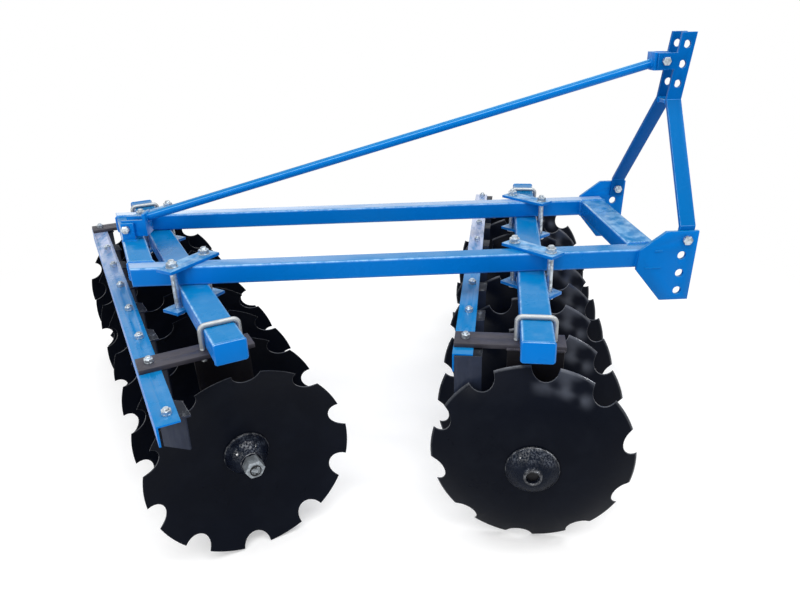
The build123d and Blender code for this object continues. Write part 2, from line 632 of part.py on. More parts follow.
def gang_ends(gang):
    """Cap, bell washer, nut and square shaft of one gang, in the gang's directions."""
    places = disc_positions(gang)
    half = DISC_THICKNESS / 2
    outwards = gang["hollow"]
    first, last = (places[0], places[-1]) if outwards > 0 else (places[-1], places[0])
    convex_y = first - outwards * half
    hollow_y = last + outwards * half

    def towards(shape, sign):
        return shape if sign > 0 else mirror(shape, Plane.XZ)

    cap = end_washer(CAP) - hub_bore(0, CAP_BORE_DEPTH)
    cap -= rod_y(CAP_RECESS_RADIUS, CAP_BORE_DEPTH, CAP["end"])
    bell = end_washer(BELL) - hub_bore(0, BELL["end"])
    nut_y = hollow_y + outwards * BELL["end"]
    nut_bore = rod_z(NUT_STUB_RADIUS + SEAT_GAP, 0, NUT_HEIGHT)
    nut = Rot(-90 * outwards, 0, 0) * (hexagon_z(NUT_FLAT, 0, NUT_HEIGHT) - nut_bore)
    half_side = SHAFT_SIDE / 2
    ends = sorted((convex_y - outwards * CAP_BORE_DEPTH, nut_y))
    shaft = box(-half_side, half_side, *ends, -half_side, half_side)
    shaft += rod_y(NUT_STUB_RADIUS, *sorted((nut_y, nut_y + outwards * (NUT_HEIGHT + NUT_STUB_LENGTH))))
    cap = Pos(0, convex_y, 0) * towards(cap, -outwards)
    bell = Pos(0, hollow_y, 0) * towards(bell, outwards)
    return cap, bell, Pos(0, nut_y, 0) * nut, shaft


def build_nodes():
    """Every node of the model by name, each a list of solids."""
    nodes = {}
    for name, side in SIDES:
        nodes["rail_" + name] = [rail(side)]
        nodes["hitch_plate_" + name] = [hitch_plate(side)]
        nodes["mast_strap_" + name] = [mast_strap(side)]
    nodes["cross_tube_front"] = [front_cross_tube()]
    nodes["cross_tube_rear"] = [rear_cross_tube()]
    nodes["mast_spacer"] = [mast_spacer()]
    nodes["mast_foot_bolts"] = mast_foot_bolts()
    front_bolt, rear_bolt = stay_ends()
    nodes["stay_pipe"] = [stay_pipe()]
    nodes["stay_yoke_front"] = [yoke(front_bolt, -FRONT_YOKE_REACH, YOKE_RISE)]
    nodes["stay_yoke_rear"] = [yoke(rear_bolt, REAR_YOKE_REACH, REAR_YOKE_BACK_RISE)]
    nodes["stay_bolts"] = stay_bolts()
    nodes["stay_lugs"] = stay_lugs()
    nodes["clamp_plates_upper"], nodes["clamp_plates_lower"], nodes["clamp_bolts"] = clamp_parts()
    arms = (-ARM_OFFSET, ARM_OFFSET)
    for gang in GANGS:
        name = gang["name"]
        lift = Pos(gang["ahead"], 0, SHAFT_Z)
        cap, bell, nut, shaft = gang_ends(gang)
        scraper_pairs = zip(scraper_places(gang), disc_positions(gang))
        nodes["gang_beam_" + name] = place(gang, [gang_beam(gang)])
        nodes["u_bolts_" + name] = place(gang, [u_bolt(y) for y in arms])
        nodes["cross_arms_" + name] = place(gang, [cross_arm(y) for y in arms])
        nodes["hangers_" + name] = place(gang, [hanger(gang, y) for y in arms])
        nodes["bearings_" + name] = place(gang, [bearing(gang, y) for y in arms])
        nodes["scraper_bar_" + name] = place(gang, [scraper_bar(gang)])
        nodes["scrapers_" + name] = place(gang, [scraper(gang, *pair) for pair in scraper_pairs])
        nodes["scraper_bolts_" + name] = place(gang, scraper_bolts(gang))
        nodes["discs_" + name] = place(gang, [lift * shape for shape in discs(gang)])
        nodes["spools_" + name] = place(gang, [lift * piece for piece in gang_spools(gang)])
        nodes["end_washers_" + name] = place(gang, [lift * cap, lift * bell])
        nodes["gang_nut_" + name] = place(gang, [lift * nut])
        nodes["gang_shaft_" + name] = place(gang, [lift * shaft])
    return nodes


def centred(nodes):
    """Move the whole machine so that it stands at Z 0 with the middle of its outline at the origin."""
    bounds = Compound([solid for solids in nodes.values() for solid in solids]).bounding_box()
    middle = bounds.center()
    print("moved by", -middle.X, -middle.Y, -bounds.min.Z, "size", bounds.size)
    shift = Pos(-middle.X, -middle.Y, -bounds.min.Z)
    return {name: [shift * solid for solid in solids] for name, solids in nodes.items()}


def main():
    os.makedirs("parts", exist_ok=True)
    for node, solids in centred(build_nodes()).items():
        shape = solids[0] if len(solids) == 1 else Compound(solids)
        export_step(shape, "parts/" + node + ".step")


if __name__ == "__main__":
    main()
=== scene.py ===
"""Looks of an offset disc harrow: paint, steel, castings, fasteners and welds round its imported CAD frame."""

import json
from math import atan2, cos, hypot, pi, radians, sin

import bmesh
import bpy
import numpy as np
from bpy.props import FloatProperty, FloatVectorProperty, IntProperty, PointerProperty
from mathutils import Matrix, Vector

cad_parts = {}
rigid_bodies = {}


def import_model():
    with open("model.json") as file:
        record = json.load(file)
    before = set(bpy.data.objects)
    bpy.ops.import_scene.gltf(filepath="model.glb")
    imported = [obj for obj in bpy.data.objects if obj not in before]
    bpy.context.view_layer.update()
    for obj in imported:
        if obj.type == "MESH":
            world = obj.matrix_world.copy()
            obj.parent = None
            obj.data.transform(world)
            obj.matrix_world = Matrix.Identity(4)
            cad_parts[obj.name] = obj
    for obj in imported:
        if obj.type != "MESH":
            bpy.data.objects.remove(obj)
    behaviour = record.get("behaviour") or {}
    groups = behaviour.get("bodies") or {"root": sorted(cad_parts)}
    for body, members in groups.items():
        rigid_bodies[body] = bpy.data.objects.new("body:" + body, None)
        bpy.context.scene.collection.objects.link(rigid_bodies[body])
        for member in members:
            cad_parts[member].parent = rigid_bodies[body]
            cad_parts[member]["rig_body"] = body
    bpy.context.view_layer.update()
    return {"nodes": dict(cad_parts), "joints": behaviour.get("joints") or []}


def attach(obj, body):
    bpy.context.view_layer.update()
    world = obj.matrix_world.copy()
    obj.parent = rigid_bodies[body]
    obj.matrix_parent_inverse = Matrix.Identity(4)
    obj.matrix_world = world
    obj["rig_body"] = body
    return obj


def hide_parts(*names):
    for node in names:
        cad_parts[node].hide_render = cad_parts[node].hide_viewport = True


bl_info = {
    "name": "Disc harrow",
    "version": (1, 0, 0),
    "blender": (4, 5, 0),
    "location": "3D View > Sidebar > Harrow",
    "description": "Dresses the packed frame of a disc harrow with its discs, castings, fasteners and welds",
    "category": "Object",
}

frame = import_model()
NODES = frame["nodes"]
FRAME_BODY = "frame"
GANG_NAMES = ("front", "rear")
GANG_BODIES = {"front": "front_gang", "rear": "rear_gang"}
HOLLOW_SIDE = {"front": 1, "rear": -1}

# Place of each gang's first disc along its shaft in metres, and the turn of every disc's notches in degrees
FIRST_DISC = {"front": -0.680, "rear": -0.617}
NOTCH_TURNS = {"front": (5, 14, 16, 23, 28, 0, 27, 8), "rear": (3, 2, 9, 11, 32, 12, 0, 3)}

# CAD nodes that keep their own shape and get rounded edges, by their kind of finish
SOFTENED_NODES = {
    "rail": ("rail_left", "rail_right"),
    "blue": ("cross_tube_rear", "hitch_plate_left", "hitch_plate_right", "mast_spacer", "stay_yoke_front",
             "stay_yoke_rear", "stay_lugs", "gang_beam_front", "gang_beam_rear"),
    # worn: the enamel with patches of painted glare on top
    "worn": ("cross_tube_front", "clamp_plates_upper", "clamp_plates_lower"),
    "pipe": ("stay_pipe",),
    "mast": ("mast_strap_left", "mast_strap_right"),
    "bar": ("scraper_bar_front", "scraper_bar_rear"),
    "black": ("cross_arms_front", "cross_arms_rear"),
    "painted_shade_black": ("hangers_front", "hangers_rear"),
    "cast": ("bearings_front", "bearings_rear"),
    "blade": ("scrapers_front", "scrapers_rear"),
}

# Nodes with these beginnings are square tubes. A face of theirs is one of the round corners where it is
# narrower than CORNER_WIDTH and the way round it is longer than CORNER_PERIMETER
TUBES = ("rail", "cross_tube", "gang_beam")
CORNER_WIDTH = 0.004
CORNER_PERIMETER = 0.2

# Points nearer than MERGE are one point, and faces that turn by less than FLAT degrees are one face
MERGE = 1e-5
FLAT = 0.5

# Edges that turn by more degrees than these are rounded on plates, and are shaded sharp on plates, on turned
# and bent pieces, and on discs
BEVEL_SHARP = 35
PLATE_SHARP = 40
PIECE_SHARP = 38
DISC_SHARP = 12


# Sizes and colours that a user would change

def length_setting(name, description, default):
    return FloatProperty(name=name, description=description, default=default, unit="LENGTH")


def power_setting(name, description, default):
    return FloatProperty(name=name, description=description, default=default, unit="POWER")


def colour_setting(name, description, default):
    return FloatVectorProperty(name=name, description=description, default=default, subtype="COLOR", size=3)


class HarrowDiscs(bpy.types.PropertyGroup):
    radius: length_setting("Disc radius", "From the shaft to the rim", 0.230)
    dish: length_setting("Dish", "Depth of the hollow face", 0.050)
    flat: length_setting("Flat radius", "Flat middle that the spools clamp", 0.058)
    thickness: length_setting("Thickness", "Plate thickness", 0.004)
    bore: length_setting("Bore", "Radius of the hole, hidden by the spools", 0.022)
    notch_radius: length_setting("Notch radius", "Radius of one notch", 0.031)
    notch_centre: length_setting("Notch centre", "From the shaft to a notch's centre", 0.231)
    notches: IntProperty(name="Notches", description="Notches round one disc", default=10, min=3)
    edge: length_setting("Edge chamfer", "Width of the cut edge's chamfer", 0.0010)
    bevel: length_setting("Bevel", "Width of the ground bevel on the bulged face", 0.005)
    pitch: length_setting("Pitch", "Distance between discs", 0.182)


class HarrowCastings(bpy.types.PropertyGroup):
    body: length_setting("Spool radius", "Waist of a spool", 0.028)
    flange: length_setting("Flange radius", "Face that bears on a disc", 0.052)
    flange_length: length_setting("Flange length", "Thickness of the flange", 0.010)
    flare: length_setting("Flare", "Length over which the flange runs into the waist", 0.016)
    journal: length_setting("Journal radius", "Ground seat in a bearing", 0.032)
    cap: length_setting("Cap radius", "Domed washer on the bulged side", 0.0595)
    bell: length_setting("Bell radius", "Washer in the hollow of the end disc", 0.052)


class HarrowFasteners(bpy.types.PropertyGroup):
    pitch: length_setting("Thread pitch", "Distance between threads", 0.002)
    depth: FloatProperty(name="Thread depth", description="Share of the radius cut by a thread", default=0.10)
    washer: length_setting("Washer thickness", "Flat washer", 0.0025)
    u_bolt: length_setting("U-bolt radius", "Radius of a U-bolt's bar", 0.006)
    bend: length_setting("U-bolt bend", "Radius of a U-bolt's corners", 0.012)
    gang_nut: length_setting("Gang nut", "Half the width over flats of the nut at a gang's end", 0.0195)
    stub: length_setting("Gang stub", "Radius of the threaded end of a gang's shaft", 0.0131)


class HarrowFinish(bpy.types.PropertyGroup):
    blue: colour_setting("Blue enamel", "Paint of the frame", (0.0003, 0.168, 0.590))
    # Painted shade: a darker copy of the blue, laid on faces that look up in place of how the light falls on
    # them
    top_painted_shade: colour_setting("Blue from above", "The same paint on faces that look up", (0.0003, 0.163, 0.415))
    black: colour_setting("Black paint", "Paint of arms and hangers", (0.028, 0.026, 0.036))
    disc: colour_setting("Disc lacquer", "Lacquer of the discs", (0.0026, 0.0038, 0.0080))
    bright: colour_setting("Zinc", "Plated bolts and nuts", (0.62, 0.69, 0.75))
    # Painted shade: the blades' colour is set darker than their paint, for the shade of the discs over them
    blade: colour_setting("Scraper steel", "Scraper blades", (0.022, 0.029, 0.052))
    soften: length_setting("Edge radius", "Rounding of cut plate edges", 0.0018)


class HarrowStudio(bpy.types.PropertyGroup):
    floor: colour_setting("Floor", "Plain pale floor", (0.80, 0.80, 0.80))
    overhead: power_setting("Overhead light", "Power of the large soft light", 225.0)
    fill: power_setting("Fill light", "Power of the soft light beside the camera", 24.0)
    glint: power_setting("Glint light", "Power of each small light at the sides", 10.0)


# Node trees

def operation(name):
    """Method of a Wire that adds a Math node with the Wire on the left."""
    return lambda left, right: left.tree.math(name, left, right)


def reflected(name):
    """The same with the Wire on the right and a number on the left."""
    return lambda right, left: right.tree.math(name, left, right)


class Wire:
    """One output socket. Arithmetic on it adds Math nodes to its tree."""

    def __init__(self, tree, socket):
        self.tree = tree
        self.socket = socket

    __add__ = operation("ADD")
    __sub__ = operation("SUBTRACT")
    __mul__ = operation("MULTIPLY")
    __truediv__ = operation("DIVIDE")
    __mod__ = operation("FLOORED_MODULO")
    __lt__ = operation("LESS_THAN")
    __gt__ = operation("GREATER_THAN")
    __radd__ = reflected("ADD")
    __rsub__ = reflected("SUBTRACT")
    __rmul__ = reflected("MULTIPLY")
    __rtruediv__ = reflected("DIVIDE")

    def __neg__(self):
        return self * -1.0

    def call(self, name, *others):
        """Any other operation of a Math node."""
        return self.tree.math(name, self, *others)

    def between(self, low, high):
        """0 at or below low, 1 at or above high, smooth between."""
        return self.tree.add("ShaderNodeMapRange", {"interpolation_type": "SMOOTHSTEP"},
                             {0: self, 1: low, 2: high, 3: 0.0, 4: 1.0})[0]

    def within(self, low, high):
        """The value itself, held between low and high."""
        return self.call("MAXIMUM", low).call("MINIMUM", high)


class Outputs:
    """The outputs of one node, by index or name."""

    def __init__(self, tree, node):
        self.tree = tree
        self.node = node

    def __getitem__(self, key):
        return Wire(self.tree, self.node.outputs[key])


class Tree:
    """A node tree being built: add() makes any node and math() a Math node."""

    def __init__(self, tree):
        self.tree = tree

    def add(self, kind, settings=None, inputs=None):
        """Any node: its settings are set first, then its inputs are given values or linked."""
        node = self.tree.nodes.new(kind)
        for name, value in (settings or {}).items():
            if name == "items":
                while len(node.index_switch_items) < value:
                    node.index_switch_items.new()
            else:
                setattr(node, name, value)
        for key, value in (inputs or {}).items():
            self.feed(node.inputs[key], value)
        return Outputs(self, node)

    def feed(self, socket, value):
        """Link a socket to a Wire or a node's first output, or give it a plain value."""
        if isinstance(value, Outputs):
            value = value[0]
        if isinstance(value, Wire):
            self.tree.links.new(value.socket, socket)
        else:
            socket.default_value = value

    def math(self, name, *values):
        return self.add("ShaderNodeMath", {"operation": name}, dict(enumerate(values)))[0]

    def vector(self, x=0.0, y=0.0, z=0.0):
        return self.add("ShaderNodeCombineXYZ", None, {"X": x, "Y": y, "Z": z})[0]

    def parts(self, vector):
        node = self.add("ShaderNodeSeparateXYZ", None, {0: vector})
        return node[0], node[1], node[2]


# Finishes

class Finish(Tree):
    """Material of one finish: pattern helpers in object coordinates, closed by surface()."""

    def __init__(self, name):
        self.material = bpy.data.materials.new(name)
        self.material.use_nodes = True
        super().__init__(self.material.node_tree)
        self.tree.nodes.clear()
        self.place = self.add("ShaderNodeTexCoord")["Object"]

    def stretched(self, x, y, z):
        return self.add("ShaderNodeMapping", None, {"Vector": self.place, "Scale": (x, y, z)})[0]

    def noise(self, scale, detail=2.0, roughness=0.5, at=None):
        inputs = {"Vector": at or self.place, "Scale": scale, "Detail": detail, "Roughness": roughness}
        return self.add("ShaderNodeTexNoise", None, inputs)[0]

    def cells(self, scale):
        return self.add("ShaderNodeTexVoronoi", None, {"Vector": self.place, "Scale": scale})

    def layered(self, colour, *layers):
        """A colour with others laid over it in turn, each as (share, colour)."""
        for share, over in layers:
            under, over = [value if isinstance(value, Wire) else (*value, 1.0) for value in (colour, over)]
            colour = self.add("ShaderNodeMix", {"data_type": "RGBA"}, {0: share, 6: under, 7: over})[2]
        return colour

    def bump(self, height, distance, strength):
        inputs = {"Height": height, "Distance": distance, "Strength": strength}
        return self.add("ShaderNodeBump", None, inputs)[0]

    def facing(self):
        """The surface's direction, as its parts across, along and up."""
        return self.parts(self.add("ShaderNodeNewGeometry")["Normal"])

    def facing_up(self, low=0.5, high=0.95):
        return self.facing()[2].between(low, high)

    def surface(self, **inputs):
        names = {key.replace("_", " ").title().replace("Ior", "IOR"): value for key, value in inputs.items()}
        shader = self.add("ShaderNodeBsdfPrincipled", None, names)
        self.add("ShaderNodeOutputMaterial", None, {"Surface": shader})
        return self.material


def shade(colour, factor):
    return tuple(min(1.0, channel * factor) for channel in colour)


def enamel(name, finish, gloss, polished, over=None, specular=0.30):
    """Blue enamel. over(tree, up, polish) may add a layer, as its share, its colour and its coat."""
    tree = Finish(name)
    up = tree.facing_up()
    clouds = tree.noise(7.0, 4.0, 0.6).between(0.35, 0.70)
    runs = tree.noise(9.0, 2.0, 0.5, tree.stretched(5.0, 5.0, 0.6)).between(0.48, 0.75)
    specks = tree.noise(950.0, 2.0).between(0.66, 0.80)
    # Painted highlight: faces that look up are paled in patches as glare, partly as a dusting
    dust_and_glare = up * tree.noise(26.0, 5.0, 0.65).between(0.45, 0.80)
    polish = tree.noise(11.0, 4.0, 0.65, tree.stretched(1.0, 1.0, 3.0)).between(0.40, 0.68)
    # Faces that look up take the darker copy of the blue: painted shade
    colour = tree.layered(finish.blue,
                          (tree.facing_up(0.2), finish.top_painted_shade),
                          (clouds * 0.10 + runs * 0.06, (0.0, 0.10, 0.30)),
                          (dust_and_glare * 0.08 + specks * 0.01, (0.40, 0.55, 0.66)))
    coat = up * (gloss + polish * polished) + 0.01
    if over:
        share, laid, coated = over(tree, up, polish)
        colour = tree.layered(colour, (share, laid))
        coat = coat + coated
    peel = tree.noise(420.0, 2.0, 0.4)
    ripple = tree.noise(45.0, 2.0, 0.5)
    return tree.surface(base_color=colour, roughness=0.26 + clouds * 0.10 + dust_and_glare * 0.16,
                        normal=tree.bump(peel * 0.6 + ripple, 0.00035, 0.55), specular_ior_level=specular,
                        specular_tint=(0.12, 0.50, 1.0, 1.0), coat_weight=coat, coat_roughness=0.10)


def blue_enamel(finish):
    """Sprayed enamel: orange peel, clouds where it lies thin, faint runs, and a polish on top that glares."""
    return enamel("blue_enamel", finish, 0.06, 0.22)


def blue_bars(finish):
    """The same enamel on the scraper bars, glossier, with streaks of painted glare on top towards their far
    ends.
    """
    def painted_glare(tree, up, polish):
        streaks = tree.noise(24.0, 4.0, 0.65, tree.stretched(2.0, 0.5, 1.0)).between(0.28, 0.60)
        # Painted glare: pale streaks on faces that look up, growing towards the far ends
        share = up * (streaks * tree.parts(tree.place)[1].between(-0.20, 0.40) * 0.80)
        return share, (0.50, 0.54, 0.74), share * 0.5
    return enamel("blue_bars", finish, 0.15, 0.40, painted_glare)


def blue_rails(finish):
    """The same enamel on the rails, with patches of painted glare on their tops towards the rear and on the
    left.
    """
    def painted_glare(tree, up, polish):
        across, along, _ = tree.parts(tree.place)
        patches = tree.noise(7.0, 2.0, 0.5, tree.stretched(0.6, 2.0, 1.0)).between(0.22, 0.55)
        # Painted glare: pale patches on faces that look up
        share = up * (patches * ((0.4 - across).between(0.0, 1.1) * 0.45 + along.between(0.0, 0.2) * 0.45))
        return share, (0.55, 0.66, 0.84), share * 0.5
    return enamel("blue_rails", finish, 0.06, 0.22, painted_glare)


def blue_worn(finish):
    """The same enamel, with patches of painted glare on top of the clamps and of the front cross tube."""
    def painted_top_glare(tree, up, polish):
        # Painted glare: pale patches on faces that look up
        share = up * (tree.noise(34.0, 4.0, 0.62).between(0.36, 0.66) * 0.42)
        return share, (0.40, 0.66, 0.88), share * 0.5
    return enamel("blue_worn", finish, 0.06, 0.22, painted_top_glare)


def blue_pipe(finish):
    """The same enamel on the stay, with two painted highlights along it, where a glossy round pipe would
    reflect the light.
    """
    def lines(tree, up, polish):
        # Painted highlight: two pale bands, where the pipe faces a little up and where it faces straight up
        height = tree.facing()[2]
        low_highlight = height.between(0.38, 0.45) * (1.0 - height.between(0.47, 0.54))
        line = low_highlight + height.between(0.945, 0.962)
        return line * (0.55 + polish * 0.25), (0.26, 0.62, 0.92), 0.0
    return enamel("blue_pipe", finish, 0.06, 0.22, lines)


def blue_mast(finish):
    """The same enamel in a duller coat on the mast, darkened by painted shade, most on its far side."""
    def mast_painted_shade(tree, up, polish):
        # Painted shade: the whole mast is darkened, the far strap the most
        far = tree.parts(tree.place)[1].between(-0.05, 0.05)
        return 0.26 + far * 0.24, (0.0, 0.010, 0.090), 0.0
    return enamel("blue_mast", finish, 0.02, 0.10, mast_painted_shade, 0.14)


def blue_edges(finish):
    """The same enamel on rounded edges, paler where it lies thin, with a painted highlight on edges that face
    up at a slant.
    """
    def thin_paint_and_glint(tree, up, polish):
        # Painted highlight: edges that face up at a slant are paled and coated, in patches where the paint
        # lies thin
        across, _, above = tree.facing()
        lit = above.between(0.30, 0.60) * (1.0 - above.between(0.80, 0.98))
        lit = lit * (1.0 - across.between(-0.3, 0.5) * 0.5)
        thin = tree.noise(38.0, 4.0, 0.7).between(0.35, 0.62)
        return (0.16 + thin * 0.60) * (0.12 + lit * 0.88), (0.34, 0.58, 0.84), lit * 0.8
    return enamel("blue_edges", finish, 0.03, 0.25, thin_paint_and_glint)


def brushed(name, black, gloss):
    """Brushed black paint over rolled bar, with mill scale showing through and top faces paled in patches,
    partly dusty and partly a painted highlight.
    """
    tree = Finish(name)
    clouds = tree.noise(16.0, 5.0, 0.65).between(0.35, 0.70)
    scale_marks = tree.noise(230.0, 4.0, 0.7)
    strokes = tree.noise(30.0, 3.0, 0.6, tree.stretched(1.0, 1.0, 14.0)).between(0.4, 0.7)
    # Painted highlight: faces that look up are paled in patches, partly as a dusting
    dust_and_glare = tree.facing_up() * tree.noise(40.0, 5.0, 0.7).between(0.40, 0.80)
    colour = tree.layered(black, (clouds * 0.5, shade(black, 0.55)),
                          (dust_and_glare * 0.22 + strokes * 0.05, shade(black, 4.0)))
    return tree.surface(base_color=colour, roughness=0.40 + clouds * 0.14 + dust_and_glare * 0.14,
                        normal=tree.bump(scale_marks + clouds * 0.6, 0.0005, 0.5), specular_ior_level=gloss)


def black_paint(finish):
    """Black paint of the cross arms."""
    return brushed("black_paint", finish.black, 0.4)


def black_soot(finish):
    """The same paint, dull and darkened as painted shade, on the hangers between the discs."""
    return brushed("black_soot", shade(finish.black, 0.22), 0.12)


def disc_lacquer(finish):
    """Blue-black lacquer over pressed plate: rings from pressing, radial wipes, bright cut edge."""
    tree = Finish("disc_lacquer")
    own = tree.add("ShaderNodeAttribute", {"attribute_name": "disc_place"})["Vector"]
    edge = tree.add("ShaderNodeAttribute", {"attribute_name": "disc_edge"})["Fac"]
    across, along, up = tree.parts(own)
    radius = (across * across + up * up).call("SQRT")
    turn = across.call("ARCTAN2", up)
    rings = tree.noise(1.0, 3.0, 0.6, tree.vector(radius * 90.0, turn * 1.2))
    wiped_at = tree.vector(radius * 16.0, turn * 1.6, along * 4.0)
    wipes = tree.noise(1.0, 4.0, 0.6, wiped_at).between(0.42, 0.72)
    clouds = tree.noise(5.0, 4.0, 0.6).between(0.35, 0.75)
    flecks = tree.noise(620.0, 2.0).between(0.72, 0.82)
    chipped = edge * tree.noise(60.0, 4.0, 0.7).between(0.25, 0.60)
    # Painted highlight: lighter, glossier patches near the upper rim of the bulged faces
    glare_patches_at = tree.vector(radius * 22.0, turn * 3.2, along * 2.0)
    glare_patches = tree.noise(1.0, 1.5, 0.45, glare_patches_at).between(0.34, 0.62)
    bulged = tree.parts(tree.place)[0].between(0.0, 0.2)
    glare = glare_patches * bulged * radius.between(0.168, 0.192)
    glare = glare * turn.between(-0.18, 0.0) * (1.0 - turn.between(0.45, 0.65))
    colour = tree.layered(finish.disc,
                          (clouds * 0.5, shade(finish.disc, 1.6)),
                          (wipes * 0.03 + flecks * 0.10, (0.050, 0.060, 0.080)),
                          (0.12 * edge + chipped * 0.45, (0.13, 0.14, 0.16)),
                          (glare * 0.85, (0.046, 0.054, 0.076)))
    grain = tree.noise(300.0, 3.0, 0.6)
    return tree.surface(base_color=colour, metallic=chipped * 0.5,
                        roughness=0.27 + clouds * 0.10 + wipes * 0.08,
                        normal=tree.bump(rings * 0.5 + grain * 0.35, 0.00018, 0.4), specular_ior_level=0.05,
                        coat_weight=glare * 0.6 + edge * 0.3, coat_roughness=0.18)


def cast_black(finish):
    """Glossy black enamel over a sand casting: lumps, pores and thick paint."""
    tree = Finish("cast_black")
    lumps = tree.noise(150.0, 4.0, 0.65)
    pores = tree.cells(520.0)["Distance"].between(0.10, 0.45)
    clouds = tree.noise(30.0, 3.0).between(0.40, 0.70)
    rust = tree.noise(75.0, 5.0, 0.7).between(0.70, 0.82)
    glints = tree.noise(260.0, 3.0, 0.6).between(0.44, 0.60) * tree.facing_up(0.10, 0.45)
    colour = tree.layered((0.0035, 0.0050, 0.0110),
                          (clouds * 0.5, (0.008, 0.010, 0.019)),
                          (rust * 0.15, (0.040, 0.030, 0.026)),
                          (glints * clouds * 0.8, (0.075, 0.090, 0.120)))
    return tree.surface(base_color=colour, roughness=0.26 + clouds * 0.12 + rust * 0.20,
                        normal=tree.bump(lumps + pores * 0.25, 0.0022, 0.7), specular_ior_level=0.10,
                        specular_tint=(0.60, 0.78, 1.0, 1.0), coat_weight=glints, coat_roughness=0.10)


def cast_rims(finish):
    """Rims and collars of the end castings, with the enamel worn through to the iron and a painted highlight
    on their upper sides.
    """
    tree = Finish("cast_rims")
    # Painted highlight: the worn-through patches are strongest on the upper sides
    rubbed_and_glinting = tree.noise(120.0, 4.0, 0.7).between(0.46, 0.60) * (0.12 + 0.88 * tree.facing_up(-0.30, 0.30))
    colour = tree.layered((0.008, 0.010, 0.016), (rubbed_and_glinting, (0.21, 0.22, 0.24)))
    return tree.surface(base_color=colour, metallic=rubbed_and_glinting * 0.6, roughness=0.36 - rubbed_and_glinting * 0.08,
                        normal=tree.bump(tree.noise(240.0, 4.0, 0.6), 0.0012, 0.6), specular_ior_level=0.5)


def galvanised(finish):
    """Zinc-dipped bar: spangle, grey bloom and fine scratches along the bends."""
    tree = Finish("galvanised")
    spangle = tree.parts(tree.cells(150.0)["Color"])[0]
    bloom = tree.noise(60.0, 4.0, 0.6).between(0.35, 0.70)
    scratches = tree.noise(500.0, 2.0, 0.5, tree.stretched(1.0, 1.0, 0.12)).between(0.50, 0.70)
    colour = tree.layered((0.40, 0.42, 0.43), (spangle * 0.25, (0.50, 0.52, 0.53)),
                          (bloom * 0.30, (0.33, 0.35, 0.36)))
    normal = tree.bump(spangle * 0.2 + scratches * 0.2 + bloom * 0.2, 0.00015, 0.4)
    return tree.surface(base_color=colour, metallic=0.70, roughness=0.42 + bloom * 0.14 + spangle * 0.05,
                        normal=normal)


def plated(name, bright, metal):
    """Zinc plating, dulled in patches."""
    tree = Finish(name)
    dull = tree.noise(75.0, 4.0, 0.65).between(0.40, 0.62)
    grain = tree.noise(900.0, 2.0)
    colour = tree.layered(bright, (dull * 0.7, shade(bright, 0.33)))
    return tree.surface(base_color=colour, metallic=metal, roughness=0.30 + dull * 0.20,
                        normal=tree.bump(grain * 0.4 + dull * 0.4, 0.00018, 0.5))


def zinc(finish):
    """Bright plating on bolts and nuts."""
    return plated("zinc", finish.bright, 0.85)


def dull_zinc(finish):
    """Duller plating on the large nuts at the gangs' ends, darkened as painted shade for the dark discs that
    they reflect.
    """
    return plated("dull_zinc", shade(finish.bright, 0.60), 0.45)


def painted_blade(name, finish, top_brightening):
    """Grey-blue painted blade with rubs, worn marks and painted shade on top; top_brightening is how far its
    top faces are worn bright and carry a painted highlight.
    """
    tree = Finish(name)
    clouds = tree.noise(22.0, 4.0, 0.6).between(0.35, 0.70)
    rubs = tree.noise(60.0, 3.0, 0.6, tree.stretched(1.0, 1.0, 0.15)).between(0.45, 0.75)
    # Top faces are brightened in patches by top_brightening: partly wear, partly a painted highlight
    tops = tree.facing_up() * tree.noise(35.0, 3.0).between(0.20, 0.50)
    # Painted shade: faces that look up are darkened nearly to black
    flat = tree.facing_up(0.35, 0.75)
    worn = flat * tree.noise(70.0, 4.0, 0.7, tree.stretched(1.0, 0.4, 1.0)).between(0.56, 0.70)
    colour = tree.layered(finish.blade,
                          (clouds * 0.5, shade(finish.blade, 0.6)),
                          (rubs * 0.12, (0.10, 0.11, 0.14)),
                          (flat * 0.85, shade(finish.blade, 0.12)),
                          (worn * 0.55, (0.14, 0.16, 0.18)),
                          (tops * top_brightening, (0.34, 0.36, 0.38)))
    normal = tree.bump(tree.noise(260.0, 3.0) * 0.6 + rubs * 0.3, 0.0004, 0.5)
    return tree.surface(base_color=colour, roughness=0.36 + clouds * 0.16, normal=normal,
                        specular_ior_level=0.02, coat_weight=tops * top_brightening + worn * 0.5 + (1.0 - flat) * 0.2,
                        coat_roughness=0.22)


def blade_steel(finish):
    """Paint on the blades' faces."""
    return painted_blade("blade_steel", finish, 0.05)


def blade_edges(finish):
    """Cut edges of the blades, worn bright and with a painted highlight where they face up."""
    return painted_blade("blade_edges", finish, 0.85)


def bare_steel(finish):
    """Oiled square shaft and journals, painted near black as shade where the shaft's ends show in the
    castings' recesses.
    """
    tree = Finish("bare_steel")
    clouds = tree.noise(50.0, 4.0, 0.6).between(0.35, 0.70)
    colour = tree.layered((0.010, 0.010, 0.013), (clouds * 0.6, (0.005, 0.005, 0.006)))
    return tree.surface(base_color=colour, metallic=0.5, roughness=0.38 + clouds * 0.2,
                        normal=tree.bump(tree.noise(400.0, 3.0), 0.0003, 0.5))


